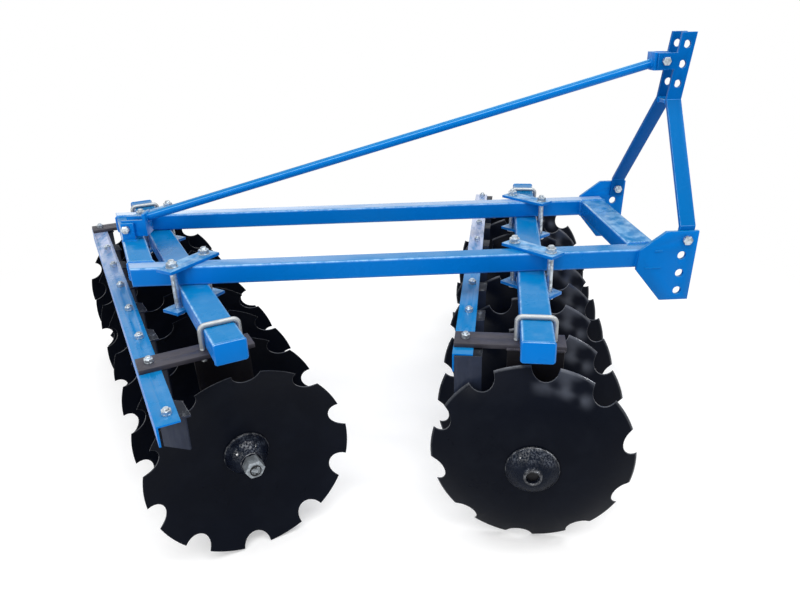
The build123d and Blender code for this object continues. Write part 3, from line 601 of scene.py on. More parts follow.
# Kind of finish: what makes it, its slot, and the kind that its edges or rims have
FINISHES = {
    "blue": (blue_enamel, "blue_paint", "edge"),
    "rail": (blue_rails, "blue_paint", "edge"),
    "worn": (blue_worn, "blue_paint", "edge"),
    "mast": (blue_mast, "blue_paint", "edge"),
    "bar": (blue_bars, "blue_paint", "edge"),
    "pipe": (blue_pipe, "blue_paint", None),
    "edge": (blue_edges, "blue_paint", None),
    "black": (black_paint, "black_paint", None),
    "painted_shade_black": (black_soot, "black_paint", None),
    "cast": (cast_black, "black_paint", "rim"),
    "rim": (cast_rims, "black_paint", None),
    "disc": (disc_lacquer, "disc_steel", None),
    "shaft": (bare_steel, "disc_steel", None),
    "blade": (blade_steel, "scraper_steel", "blade edge"),
    "blade edge": (blade_edges, "scraper_steel", None),
    "galvanised": (galvanised, "galvanised", None),
    "zinc": (zinc, "zinc", None),
    "nut": (dull_zinc, "zinc", None),
}

# Materials made so far, by kind
MADE = {}


def finish_of(kind):
    if kind not in MADE:
        MADE[kind] = FINISHES[kind][0](bpy.context.scene.harrow_finish)
    return MADE[kind]


def dress(mesh, kind):
    """Give a mesh its finish and, after it, the finish of its edges; says whether there is one for edges."""
    edge = FINISHES[kind][2]
    for name in (kind, edge):
        if name:
            mesh.materials.append(finish_of(name))
    return bool(edge)


# Places read from the frame

def gang_place(name):
    """Matrix of one gang: X forward across it, Y along its shaft to the left, Z up, origin on the shaft."""
    joint = next(j for j in frame["joints"] if j["child"] == GANG_BODIES[name])
    along = Vector(joint["axis"]).normalized()
    up = Vector((0, 0, 1))
    matrix = Matrix((along.cross(up), along, up)).transposed().to_4x4()
    matrix.translation = Vector(joint["pos_m"])
    return matrix


def merged(node):
    """A node's mesh with its loose triangles joined, as bmesh."""
    mesh = bmesh.new()
    mesh.from_mesh(NODES[node].data)
    bmesh.ops.remove_doubles(mesh, verts=mesh.verts, dist=MERGE)
    mesh.verts.index_update()
    return mesh


def box_round(verts, matrix=None):
    """Low and high corner of vertices, in a gang's directions where its matrix is given."""
    turned = (matrix or Matrix.Identity(4)).inverted()
    places = np.array([turned @ vert.co for vert in verts])
    return Vector(places.min(0)), Vector(places.max(0))


def whole_box(node, matrix=None):
    return box_round(NODES[node].data.vertices, matrix)


def solid_boxes(node, matrix=None):
    """The box of every solid of a node."""
    mesh = merged(node)
    seen = set()
    boxes = []
    for start in mesh.verts:
        if start.index in seen:
            continue
        seen.add(start.index)
        solid = [start]
        for vert in solid:
            for edge in vert.link_edges:
                other = edge.other_vert(vert)
                if other.index not in seen:
                    seen.add(other.index)
                    solid.append(other)
        boxes.append(box_round(solid, matrix))
    mesh.free()
    return boxes


# Pieces

def add_object(name, data):
    piece = bpy.data.objects.new(name, data)
    bpy.context.scene.collection.objects.link(piece)
    return piece


def settle(piece):
    """Apply a piece's modifiers, so that it is left as a plain mesh."""
    depsgraph = bpy.context.evaluated_depsgraph_get()
    result = bpy.data.meshes.new_from_object(piece.evaluated_get(depsgraph), preserve_all_data_layers=True,
                                             depsgraph=depsgraph)
    piece.modifiers.clear()
    piece.data = result
    if not result.polygons:
        raise RuntimeError(piece.name + " came out empty")


def smooth(mesh, sharp):
    """Smooth shading, broken at edges sharper than this many degrees."""
    mesh.shade_smooth()
    mesh.set_sharp_from_angle(angle=radians(sharp))


def outwards(mesh):
    """Turn faces outwards where a rule left them inside out."""
    work = bmesh.new()
    work.from_mesh(mesh)
    bmesh.ops.recalc_face_normals(work, faces=work.faces)
    work.to_mesh(mesh)
    work.free()


def hand_over(piece, body, kind, *nodes):
    """Give a finished piece its body, and hide the CAD nodes that it stands for."""
    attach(piece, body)
    if nodes:
        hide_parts(*nodes)


def softened(node, kind, width):
    """A node's own shape with its cut edges rounded."""
    mesh = merged(node)
    bmesh.ops.dissolve_limit(mesh, angle_limit=radians(FLAT), verts=mesh.verts, edges=mesh.edges)
    if node.startswith(TUBES):
        for face in mesh.faces:
            perimeter = face.calc_perimeter()
            narrow = 2 * face.calc_area() / perimeter < CORNER_WIDTH
            face.material_index = int(perimeter > CORNER_PERIMETER and narrow)
    data = bpy.data.meshes.new(node + "_dressed")
    mesh.to_mesh(data)
    mesh.free()
    piece = add_object(node + "_dressed", data)
    bevel = piece.modifiers.new("edges", "BEVEL")
    if dress(data, kind):
        bevel.material = 1
    bevel.width = width
    bevel.segments = 2
    bevel.limit_method = "ANGLE"
    bevel.angle_limit = radians(BEVEL_SHARP)
    settle(piece)
    smooth(piece.data, PLATE_SHARP)
    hand_over(piece, NODES[node]["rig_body"], kind, node)


def turned_mesh(profile, steps, out=1, rims=()):
    """Solid turned round Y from (radius, height) pairs; the bands numbered in rims get the second finish."""
    mesh = bmesh.new()
    rings = []
    for radius, height in profile:
        angles = (2 * pi * k / steps for k in range(steps))
        rings.append([mesh.verts.new((radius * sin(a), out * height, radius * cos(a))) for a in angles])
    for band, (low, high) in enumerate(zip(rings, rings[1:] + rings[:1])):
        for k in range(steps):
            after = (k + 1) % steps
            face = mesh.faces.new([low[k], low[after], high[after], high[k]])
            face.material_index = int(band in rims)
    bmesh.ops.recalc_face_normals(mesh, faces=mesh.faces)
    return mesh


def gathered(name, meshes):
    """Several bmeshes as one mesh."""
    whole = bmesh.new()
    for mesh in meshes:
        data = bpy.data.meshes.new("part")
        mesh.to_mesh(data)
        mesh.free()
        whole.from_mesh(data)
        bpy.data.meshes.remove(data)
    data = bpy.data.meshes.new(name)
    whole.to_mesh(data)
    whole.free()
    return data


def gang_piece(name, gang, meshes, kind, *nodes):
    """Piece that rides on a gang, from bmeshes in the gang's own directions."""
    data = gathered(name, meshes)
    data.transform(gang_place(gang))
    dress(data, kind)
    smooth(data, PIECE_SHARP)
    hand_over(add_object(name, data), GANG_BODIES[gang], kind, *nodes)


def places_mesh(name, rows):
    """Points, each with the turn of what stands on it and the thickness that a bolt there grips."""
    mesh = bpy.data.meshes.new(name)
    mesh.from_pydata([place for place, turn, grip in rows], [], [])
    turns = mesh.attributes.new("turn", "FLOAT_VECTOR", "POINT")
    turns.data.foreach_set("vector", [value for place, turn, grip in rows for value in turn])
    grips = mesh.attributes.new("grip", "FLOAT", "POINT")
    grips.data.foreach_set("value", [grip for place, turn, grip in rows])
    return mesh


def path_mesh(name, paths):
    """Edges along paths, each given as (corners, closed)."""
    points, edges = [], []
    for corners, closed in paths:
        first, count = len(points), len(corners)
        points += corners
        edges += [(first + k, first + (k + 1) % count) for k in range(count if closed else count - 1)]
    mesh = bpy.data.meshes.new(name)
    mesh.from_pydata(points, edges, [])
    return mesh


# Geometry node rules

class Rule(Tree):
    """Geometry node tree with named inputs, which ends in real geometry with one finish."""

    def __init__(self, name):
        super().__init__(bpy.data.node_groups.new(name, "GeometryNodeTree"))
        for way in ("INPUT", "OUTPUT"):
            self.tree.interface.new_socket("Geometry", in_out=way, socket_type="NodeSocketGeometry")
        self.source = self.tree.nodes.new("NodeGroupInput")
        self.geometry = Wire(self, self.source.outputs["Geometry"])
        self.finish = self.asks("Finish", "Material")

    def asks(self, name, kind="Float"):
        self.tree.interface.new_socket(name, in_out="INPUT", socket_type="NodeSocket" + kind)
        return Wire(self, self.source.outputs[name])

    def sizes(self, *names):
        return {name: self.asks(name) for name in names}

    def row_and_column(self, columns):
        """Row and column of each point of a grid."""
        index = self.add("GeometryNodeInputIndex")[0]
        row = ((index + 0.5) / columns).call("FLOOR")
        return row, index - row * columns

    def bent_grid(self, rows, columns, place):
        """Grid with its points put in their places, closed at seam and poles."""
        sizes = {"Size X": 1.0, "Size Y": 1.0, "Vertices X": rows, "Vertices Y": columns}
        grid = self.add("GeometryNodeMeshGrid", None, sizes)[0]
        bent = self.add("GeometryNodeSetPosition", None, {"Geometry": grid, "Position": place})[0]
        return self.add("GeometryNodeMergeByDistance", None, {"Geometry": bent, "Distance": MERGE})[0]

    def by_row(self, row, values):
        """One of several values, chosen by the row."""
        inputs = {0: row, **{k + 1: value for k, value in enumerate(values)}}
        return self.add("GeometryNodeIndexSwitch", {"data_type": "FLOAT", "items": len(values)}, inputs)[0]

    def turned(self, outline, columns):
        """Solid turned round Z from the outline's (radius, height) pairs, which may follow the angle."""
        row, column = self.row_and_column(columns + 1)
        angle = column * (2 * pi / columns)
        pairs = outline(angle)
        radius, height = [self.by_row(row, values) for values in zip(*pairs)]
        place = self.vector(radius * angle.call("COSINE"), radius * angle.call("SINE"), height)
        return self.bent_grid(len(pairs), columns + 1, place)

    def moved(self, geometry, translation=(0, 0, 0), rotation=(0, 0, 0)):
        inputs = {"Geometry": geometry, "Translation": translation, "Rotation": rotation}
        return self.add("GeometryNodeTransform", None, inputs)[0]

    def joined(self, *pieces):
        node = self.add("GeometryNodeJoinGeometry")
        for piece in reversed(pieces):
            self.feed(node.node.inputs[0], piece)
        return node[0]

    def placed(self, points, piece, **turn_and_scale):
        """The piece on every point."""
        inputs = {"Points": points, "Instance": piece, **turn_and_scale}
        return self.add("GeometryNodeInstanceOnPoints", None, inputs)[0]

    def shifted(self, geometry, offset):
        return self.add("GeometryNodeSetPosition", None, {"Geometry": geometry, "Offset": offset})[0]

    def lines(self, corner, step):
        """The start mesh's edges as curves, their corners rounded and their points at equal steps."""
        curve = self.add("GeometryNodeMeshToCurve", None, {0: self.geometry})[0]
        curve = self.add("GeometryNodeFilletCurve", {"mode": "POLY"},
                         {"Curve": curve, "Count": 10, "Radius": corner, "Limit Radius": True})[0]
        return self.add("GeometryNodeResampleCurve", {"mode": "LENGTH"}, {"Curve": curve, "Length": step})[0]

    def wave(self, pitch):
        """0 to 1 and back in each pitch along a curve, and the place along the curve."""
        span = self.add("GeometryNodeSplineParameter")["Length"]
        return (span / pitch).call("PINGPONG", 0.5) * 2.0, span

    def bar(self, curve, radius, sides):
        """Round bar along a curve; its radius may follow the curve."""
        curve = self.add("GeometryNodeSetCurveRadius", None, {"Curve": curve, "Radius": radius})[0]
        ring = self.add("GeometryNodeCurvePrimitiveCircle", {"mode": "RADIUS"},
                        {"Resolution": sides, "Radius": 1.0})[0]
        inputs = {"Curve": curve, "Profile Curve": ring, "Fill Caps": True,
                  "Scale": self.add("GeometryNodeInputRadius")[0]}
        return self.add("GeometryNodeCurveToMesh", None, inputs)[0]

    def kept(self, geometry, name, kind, value):
        """Geometry with one named attribute on its points."""
        return self.add("GeometryNodeStoreNamedAttribute", {"data_type": kind, "domain": "POINT"},
                        {"Geometry": geometry, "Name": name, "Value": value})[0]

    def named(self, name, kind):
        return self.add("GeometryNodeInputNamedAttribute", {"data_type": kind}, {"Name": name})[0]

    def finished(self, geometry):
        real = self.add("GeometryNodeRealizeInstances", None, {0: geometry})[0]
        dressed = self.add("GeometryNodeSetMaterial", None, {"Geometry": real, "Material": self.finish})[0]
        self.add("NodeGroupOutput", None, {0: dressed})
        return self.tree


def grown(name, rule, kind, body, sizes, start=None, matrix=None, sharp=PIECE_SHARP, replaces=()):
    """Run a rule on a start mesh and keep the result as a plain piece."""
    piece = add_object(name, start or bpy.data.meshes.new(name))
    modifier = piece.modifiers.new("rule", "NODES")
    modifier.node_group = rule
    values = dict(sizes, Finish=finish_of(kind))
    for item in rule.interface.items_tree:
        if item.in_out == "INPUT" and item.name in values:
            modifier[item.identifier] = values.pop(item.name)
    if values:
        raise RuntimeError(name + " has no input for " + ", ".join(values))
    settle(piece)
    if matrix:
        piece.data.transform(matrix)
    smooth(piece.data, sharp)
    outwards(piece.data)
    hand_over(piece, body, kind, *replaces)


# Rows of points from a disc's middle to its rim, and points along one notch and the land beside it
DISC_STEPS = 10
NOTCH_STEPS = 12
LAND_STEPS = 9

# Shares of the plate's thickness: depth of the ground bevel, what each side loses at the cut edge, and how
# near to the plate's middle a point of that edge lies
GROUND_SHARE = 0.55
EDGE_LOSS = 0.15
EDGE_BAND = 0.45


def disc_rule():
    """Row of dished discs with notches: one grid runs over the hollow face, round the edge and back."""
    rule = Rule("Notched discs")
    size = rule.sizes("Radius", "Dish", "Flat", "Thickness", "Bore", "Notch radius", "Notch centre",
                      "Hollow side", "Edge", "Bevel")
    notches = rule.asks("Notches", "Int")
    cell = NOTCH_STEPS + LAND_STEPS
    columns = notches * cell + 1.0
    row, column = rule.row_and_column(columns)
    run = size["Radius"] - size["Flat"]
    ball = (run * run + size["Dish"] * size["Dish"]) / (2.0 * size["Dish"])

    def dished(radius):
        """How deep the plate lies at a radius: flat in its middle, then part of a ball."""
        beyond = (radius - size["Flat"]).call("MAXIMUM", 0.0)
        return ball - (ball * ball - beyond * beyond).call("SQRT")

    # Rows lead out over one face (side 1) and back over the other (side -1); the last row closes the ring
    back = row > DISC_STEPS + 0.5
    closing = row > 2 * DISC_STEPS + 1.5
    level = row * (1.0 - back) + (2.0 * DISC_STEPS + 1.0 - row) * back * (1.0 - closing)
    side = 1.0 - 2.0 * back * (1.0 - closing)
    at_edge = level > DISC_STEPS - 0.5
    at_rim = level > DISC_STEPS - 1.5
    at_bore = level < 0.5

    # A notch is an arc round its centre; reach is half the angle of that arc, half_open half of its mouth
    notch = (column / cell).call("FLOOR")
    step = column - notch * cell
    inset = size["Edge"] * (1.0 - at_edge)
    outer = size["Radius"] - inset
    arc = size["Notch radius"] + inset
    centre = size["Notch centre"]
    reach = ((centre * centre + arc * arc - outer * outer) / (2.0 * centre * arc)).call("ARCCOSINE")
    swing = reach * (step * (2.0 / NOTCH_STEPS) - 1.0)
    sideways = arc * swing.call("SINE")
    inwards = centre - arc * swing.call("COSINE")
    half_open = (arc * reach.call("SINE")).call("ARCTAN2", centre - arc * reach.call("COSINE"))

    # The land between two notches follows the rim
    whole = 2 * pi / notches
    on_land = step > NOTCH_STEPS + 0.5
    land_angle = half_open + (step - NOTCH_STEPS) / LAND_STEPS * (whole - 2.0 * half_open)
    rim = (sideways * sideways + inwards * inwards).call("SQRT") * (1.0 - on_land) + outer * on_land
    bearing = sideways.call("ARCTAN2", inwards) * (1.0 - on_land) + land_angle * on_land
    angle = bearing + notch * whole

    out = ((level - 1.0) / (DISC_STEPS - 3.0)).within(0.0, 1.0)
    inner = (rim - size["Edge"]).call("MINIMUM", size["Radius"] - size["Bevel"])
    radius = size["Flat"] + (inner * (1.0 - at_rim) + rim * at_rim - size["Flat"]) * out
    radius = radius * (1.0 - at_bore) + size["Bore"] * at_bore
    half = size["Thickness"] * (0.5 - EDGE_LOSS * at_edge)
    ground = ((radius - size["Radius"] + size["Bevel"]) / size["Bevel"]).call("MAXIMUM", 0.0)
    cut = ground * size["Thickness"] * GROUND_SHARE * (side < 0.0)
    depth = (dished(radius) + side * half + cut) * size["Hollow side"]
    place = rule.vector(radius * angle.call("SINE"), depth, radius * angle.call("COSINE"))
    disc = rule.bent_grid(2 * DISC_STEPS + 3, columns, place)

    # What the lacquer reads: the place on the own disc, and where the cut edge is
    own_place = rule.add("GeometryNodeInputPosition")[0]
    disc = rule.kept(disc, "disc_place", "FLOAT_VECTOR", own_place)
    across, along, up = rule.parts(own_place)
    from_shaft = (across * across + up * up).call("SQRT")
    off_face = (along * size["Hollow side"] - dished(from_shaft)).call("ABSOLUTE")
    edge = (off_face < size["Thickness"] * EDGE_BAND) * (from_shaft > size["Flat"])
    disc = rule.kept(disc, "disc_edge", "FLOAT", edge)
    return rule.finished(rule.placed(rule.geometry, disc, Rotation=rule.named("turn", "FLOAT_VECTOR")))


# Spool: points round it, radius of its bore, rounding of its flanges, and where its flare has points
SPOOL_STEPS = 36
SPOOL_BORE = 0.018
SPOOL_ROUNDING = 0.0015
FLARE_SHARES = (0.12, 0.3, 0.55, 0.8, 1.0)
FLARE_POWER = 2.2


def spool_rule():
    """Row of cast spools with rounded flanges and a hollow flare."""
    rule = Rule("Cast spools")
    size = rule.sizes("Body", "Flange", "Flange length", "Flare", "Length", "First", "Pitch")
    count = rule.asks("Count", "Int")

    def outline(angle):
        flange, start = size["Flange"], size["Flange length"]
        face = flange - SPOOL_ROUNDING
        near = [(SPOOL_BORE, 0.0), (face, 0.0), (flange, SPOOL_ROUNDING), (flange, start - SPOOL_ROUNDING),
                (face, start)]
        for share in FLARE_SHARES:
            drop = 1 - (1 - share) ** FLARE_POWER
            near.append((face - (face - size["Body"]) * drop, start + size["Flare"] * share))
        far = [(radius, size["Length"] - height) for radius, height in reversed(near)]
        return near + far

    spool = rule.moved(rule.turned(outline, SPOOL_STEPS), rotation=(-pi / 2, 0, 0))
    line = rule.add("GeometryNodeMeshLine", {"mode": "OFFSET"},
                    {"Count": count, "Start Location": rule.vector(0.0, size["First"], 0.0),
                     "Offset": rule.vector(0.0, size["Pitch"], 0.0)})[0]
    return rule.finished(rule.placed(line, spool))


# Points round a nut or washer and round a threaded rod
NUT_STEPS = 24
THREAD_STEPS = 16

# Nuts and heads: share of the half width that stays flat on top, slope of the cone that cuts the corners, and
# the share and height of the small cut at the foot
CROWN = 0.94
CONE_SLOPE = 0.577
FOOT_SHARE, FOOT_CUT = 0.985, 0.0004

# Cut edge of a washer, and the last stretch of a thread with the share of the radius that it loses
WASHER_CUT = 0.0003
END_START, END_CUT = 0.97, 0.12


def hexagon(rule, half, height):
    """Nut or bolt head standing on Z 0, its upper corners cut by a cone."""
    crown = half * CROWN

    def outline(angle):
        side = half / ((angle % (pi / 3)) - pi / 6).call("COSINE")
        shoulder = height - (side - crown) * CONE_SLOPE
        return [(0.0, 0.0), (side * FOOT_SHARE, 0.0), (side, FOOT_CUT), (side, shoulder), (crown, height),
                (0.0, height)]
    return rule.turned(outline, NUT_STEPS)


def washer(rule, radius, thickness):
    """Flat washer standing on Z 0, its edges slightly cut."""
    face = radius - WASHER_CUT

    def outline(angle):
        return [(0.0, 0.0), (face, 0.0), (radius, WASHER_CUT), (radius, thickness - WASHER_CUT),
                (face, thickness), (0.0, thickness)]
    return rule.turned(outline, NUT_STEPS)


def threaded(rule, radius, length, pitch, depth, rings=40):
    """Rod on Z 0 with a thread wound round it and a cut end."""
    row, column = rule.row_and_column(THREAD_STEPS + 1)
    angle = column * (2 * pi / THREAD_STEPS)
    level = ((row - 1.0) / (rings - 3.0)).within(0.0, 1.0)
    height = level * length
    cap = (row < 0.5) + (row > rings - 1.5)
    wave = (height / pitch + angle / (2 * pi)).call("PINGPONG", 0.5) * 2.0
    end = (level > END_START) * END_CUT
    wide = radius * (1.0 - depth * wave - end) * (1.0 - cap)
    place = rule.vector(wide * angle.call("COSINE"), wide * angle.call("SINE"), height)
    return rule.bent_grid(rings, THREAD_STEPS + 1, place)


def bolt_rule():
    """Bolts on given places: head and washer, shank over the grip, washer, nut and threaded end."""
    rule = Rule("Hexagon bolts")
    size = rule.sizes("Shank", "Half flat", "Head height", "Nut height", "Stand out", "Washer",
                      "Washer width", "Pitch", "Depth")
    turn = rule.named("turn", "FLOAT_VECTOR")
    grip = rule.named("grip", "FLOAT")
    half, plate = size["Half flat"], size["Washer"]
    wide = half * size["Washer width"]
    above = rule.vector(0.0, 0.0, plate)
    below = rule.vector(0.0, 0.0, -plate)
    head = rule.moved(hexagon(rule, half, size["Head height"] - plate), below, (pi, 0, 0))
    under = rule.moved(washer(rule, wide, plate), below)
    heads = rule.placed(rule.geometry, rule.joined(head, under), Rotation=turn)
    shank = rule.add("GeometryNodeMeshCylinder", {"fill_type": "NGON"},
                     {"Vertices": 20, "Radius": size["Shank"], "Depth": 1.0})["Mesh"]
    shank = rule.moved(shank, (0, 0, 0.5))
    shanks = rule.placed(rule.geometry, shank, Rotation=turn, Scale=rule.vector(1.0, 1.0, grip))
    lift = rule.add("ShaderNodeVectorRotate", {"rotation_type": "EULER_XYZ"},
                    {"Vector": rule.vector(0.0, 0.0, grip), "Rotation": turn})[0]
    over = washer(rule, wide, plate)
    nut = rule.moved(hexagon(rule, half, size["Nut height"] - plate), above)
    end = threaded(rule, size["Shank"], size["Nut height"] + size["Stand out"], size["Pitch"], size["Depth"])
    nuts = rule.placed(rule.shifted(rule.geometry, lift), rule.joined(over, nut, end), Rotation=turn)
    return rule.finished(rule.joined(heads, shanks, nuts))


# Points along the threaded end of a gang's shaft
STUB_RINGS = 52


def gang_nut_rule():
    """Large nut on the threaded stub of a gang's shaft."""
    rule = Rule("Gang nut")
    size = rule.sizes("Half flat", "Height", "Stub", "Stand out", "Pitch", "Depth")
    nut = hexagon(rule, size["Half flat"], size["Height"])
    length = size["Height"] + size["Stand out"]
    end = threaded(rule, size["Stub"], length, size["Pitch"], size["Depth"], STUB_RINGS)
    return rule.finished(rule.joined(nut, end))


# Distance between points along a U-bolt and along a weld bead, and points round each
U_BOLT_STEP, U_BOLT_SIDES = 0.0009, 14
BEAD_STEP, BEAD_SIDES = 0.0011, 8


def u_bolt_rule():
    """Round bars bent along given paths, threaded at both ends, with a nut and washer on each leg."""
    rule = Rule("U-bolts")
    size = rule.sizes("Radius", "Bend", "Thread length", "Pitch", "Depth", "Half flat", "Nut height",
                      "Nut level", "Washer", "Washer width")
    curve = rule.lines(size["Bend"], U_BOLT_STEP)
    wave, span = rule.wave(size["Pitch"])
    from_end = span.call("MINIMUM", rule.add("GeometryNodeSplineLength")["Length"] - span)
    cut = wave * (from_end < size["Thread length"])
    bar = rule.bar(curve, size["Radius"] * (1.0 - size["Depth"] * cut), U_BOLT_SIDES)
    feet = rule.add("GeometryNodeMeshToPoints", None,
                    {"Mesh": rule.geometry, "Selection": rule.named("foot", "FLOAT") > 0.5})[0]
    feet = rule.shifted(feet, rule.vector(0.0, 0.0, size["Nut level"]))
    half, plate = size["Half flat"], size["Washer"]
    below = rule.vector(0.0, 0.0, -plate)
    nut = rule.moved(hexagon(rule, half, size["Nut height"] - plate), below, (pi, 0, 0))
    under = rule.moved(washer(rule, half * size["Washer width"], plate), below)
    return rule.finished(rule.joined(bar, rule.placed(feet, rule.joined(nut, under))))


def weld_rule():
    """Rippled weld beads along given lines, thicker and thinner as the hand wandered."""
    rule = Rule("Weld beads")
    size = rule.sizes("Radius", "Corner", "Ripple")
    curve = rule.lines(size["Corner"], BEAD_STEP)
    wave, _ = rule.wave(size["Ripple"])
    wander = rule.add("ShaderNodeTexNoise", None, {"Scale": 70.0})[0]
    radius = size["Radius"] * (0.62 + 0.18 * wave + 0.45 * wander)
    return rule.finished(rule.bar(curve, radius, BEAD_SIDES))


# Operators

class HARROW_OT_plates(bpy.types.Operator):
    """Tubes, plates, straps, arms and blades, each with its cut edges rounded and its finish"""
    bl_idname = "harrow.plates"
    bl_label = "Plates and tubes"

    def execute(self, context):
        for kind, nodes in SOFTENED_NODES.items():
            for node in nodes:
                softened(node, kind, context.scene.harrow_finish.soften)
        for gang in GANG_NAMES:
            for slot in NODES["gang_shaft_" + gang].material_slots:
                slot.material = finish_of("shaft")
        return {"FINISHED"}


class HARROW_OT_discs(bpy.types.Operator):
    """Notched dished discs of both gangs"""
    bl_idname = "harrow.discs"
    bl_label = "Discs"

    def execute(self, context):
        size = context.scene.harrow_discs
        rule = disc_rule()
        sizes = {"Radius": size.radius, "Dish": size.dish, "Flat": size.flat, "Thickness": size.thickness,
                 "Bore": size.bore, "Notch radius": size.notch_radius, "Notch centre": size.notch_centre,
                 "Edge": size.edge, "Bevel": size.bevel, "Notches": size.notches}
        for gang in GANG_NAMES:
            rows = [((0, FIRST_DISC[gang] + index * size.pitch, 0), (0, radians(turn), 0), 0)
                    for index, turn in enumerate(NOTCH_TURNS[gang])]
            sizes["Hollow side"] = float(HOLLOW_SIDE[gang])
            grown("notched_discs_" + gang, rule, "disc", GANG_BODIES[gang], sizes,
                  start=places_mesh("discs_" + gang, rows), matrix=gang_place(gang), sharp=DISC_SHARP,
                  replaces=("discs_" + gang,))
        return {"FINISHED"}


# Outlines of the end castings as (share of the outer radius, height in metres), closed in the bore, and the
# bands of each that are worn through to the iron and carry a painted highlight
CAP_LINE = ((0.30, 0.000), (0.970, 0.000), (1.00, 0.0018), (1.00, 0.0042), (0.975, 0.0062), (0.92, 0.0098),
            (0.85, 0.0138), (0.77, 0.0174), (0.69, 0.0203), (0.60, 0.0228), (0.51, 0.0244), (0.42, 0.0254),
            (0.365, 0.0258), (0.342, 0.0270), (0.337, 0.0290), (0.335, 0.0318), (0.322, 0.0330),
            (0.262, 0.0330), (0.244, 0.0316), (0.244, 0.0222), (0.30, 0.0222))
CAP_RIMS = (1, 2, 3, 13, 14, 15, 16, 17)
BELL_LINE = ((0.40, 0.000), (0.965, 0.000), (1.00, 0.0018), (1.00, 0.0042), (0.970, 0.0066), (0.925, 0.0125),
             (0.870, 0.0185), (0.800, 0.0245), (0.710, 0.0305), (0.610, 0.0360), (0.530, 0.0395),
             (0.487, 0.0410), (0.478, 0.0425), (0.476, 0.0442), (0.462, 0.0450), (0.40, 0.0450))
BELL_RIMS = (1, 2, 3, 12, 13)

# Points round the end castings and round the journals
CASTING_STEPS = 56
JOURNAL_STEPS = 40

# Journals: radius of their bore, chamfer, and how far they stand out of the bearing on each side
JOURNAL_BORE = 0.020
JOURNAL_CHAMFER = 0.001
JOURNAL_OVERHANG = 0.002


class HARROW_OT_castings(bpy.types.Operator):
    """Spools between the discs, their journals, and the washers at the gangs' ends"""
    bl_idname = "harrow.castings"
    bl_label = "Castings"

    def execute(self, context):
        size = context.scene.harrow_castings
        discs = context.scene.harrow_discs
        rule = spool_rule()
        for gang in GANG_NAMES:
            sizes = {"Body": size.body, "Flange": size.flange, "Flange length": size.flange_length,
                     "Flare": size.flare, "Length": discs.pitch - discs.thickness,
                     "First": FIRST_DISC[gang] + discs.thickness / 2, "Pitch": discs.pitch,
                     "Count": len(NOTCH_TURNS[gang]) - 1}
            grown("cast_spools_" + gang, rule, "cast", GANG_BODIES[gang], sizes, matrix=gang_place(gang),
                  replaces=("spools_" + gang,))
            self.journals(gang, size.journal)
            self.washers(gang, size)
        return {"FINISHED"}

    def journals(self, gang, radius):
        """Ground journals in the bearings, on the spools' waists."""
        journals = []
        for low, high in solid_boxes("bearings_" + gang, gang_place(gang)):
            reach = (high.y - low.y) / 2 + JOURNAL_OVERHANG
            corner, wall = radius - JOURNAL_CHAMFER, reach - JOURNAL_CHAMFER
            journal = turned_mesh([(JOURNAL_BORE, -reach), (corner, -reach), (radius, -wall), (radius, wall),
                                   (corner, reach), (JOURNAL_BORE, reach)], JOURNAL_STEPS)
            bmesh.ops.translate(journal, verts=journal.verts, vec=(0, (low.y + high.y) / 2, 0))
            journals.append(journal)
        gang_piece("journals_" + gang, gang, journals, "shaft")

    def washers(self, gang, size):
        """Domed cap on the bulged side, bell in the hollow of the other end."""
        hollow = HOLLOW_SIDE[gang]
        boxes = solid_boxes("end_washers_" + gang, gang_place(gang))
        cap_box, bell_box = sorted(boxes, key=lambda box: box[0].y * hollow)
        inner = (cap_box[1].y, bell_box[0].y) if hollow > 0 else (cap_box[0].y, bell_box[1].y)
        castings = []
        for line, rims, radius, out, face in ((CAP_LINE, CAP_RIMS, size.cap, -1, inner[0]),
                                              (BELL_LINE, BELL_RIMS, size.bell, 1, inner[1])):
            profile = [(share * radius, height) for share, height in line]
            casting = turned_mesh(profile, CASTING_STEPS, out * hollow, rims)
            bmesh.ops.translate(casting, verts=casting.verts, vec=(0, face, 0))
            castings.append(casting)
        gang_piece("end_castings_" + gang, gang, castings, "cast", "end_washers_" + gang)


# Bolts: node, direction, radius of the shank, half the width over flats, heights of head and nut, how far the
# end stands out of the nut, and the washer's radius as a share of half the width over flats
BOLT_ROWS = (
    ("clamp_bolts", "z", 0.008, 0.012, 0.010, 0.013, 0.006, 1.22),
    ("scraper_bolts_front", "z", 0.006, 0.009, 0.007, 0.010, 0.004, 1.05),
    ("scraper_bolts_rear", "z", 0.006, 0.009, 0.007, 0.010, 0.004, 1.05),
    ("stay_bolts", "y", 0.007, 0.0102, 0.009, 0.011, 0.006, 1.0),
    ("mast_foot_bolts", "mirrored y", 0.008, 0.0110, 0.010, 0.013, 0.006, 1.0),
)

# Thread of the large nuts
GANG_THREAD_PITCH = 0.003
GANG_THREAD_DEPTH = 0.08


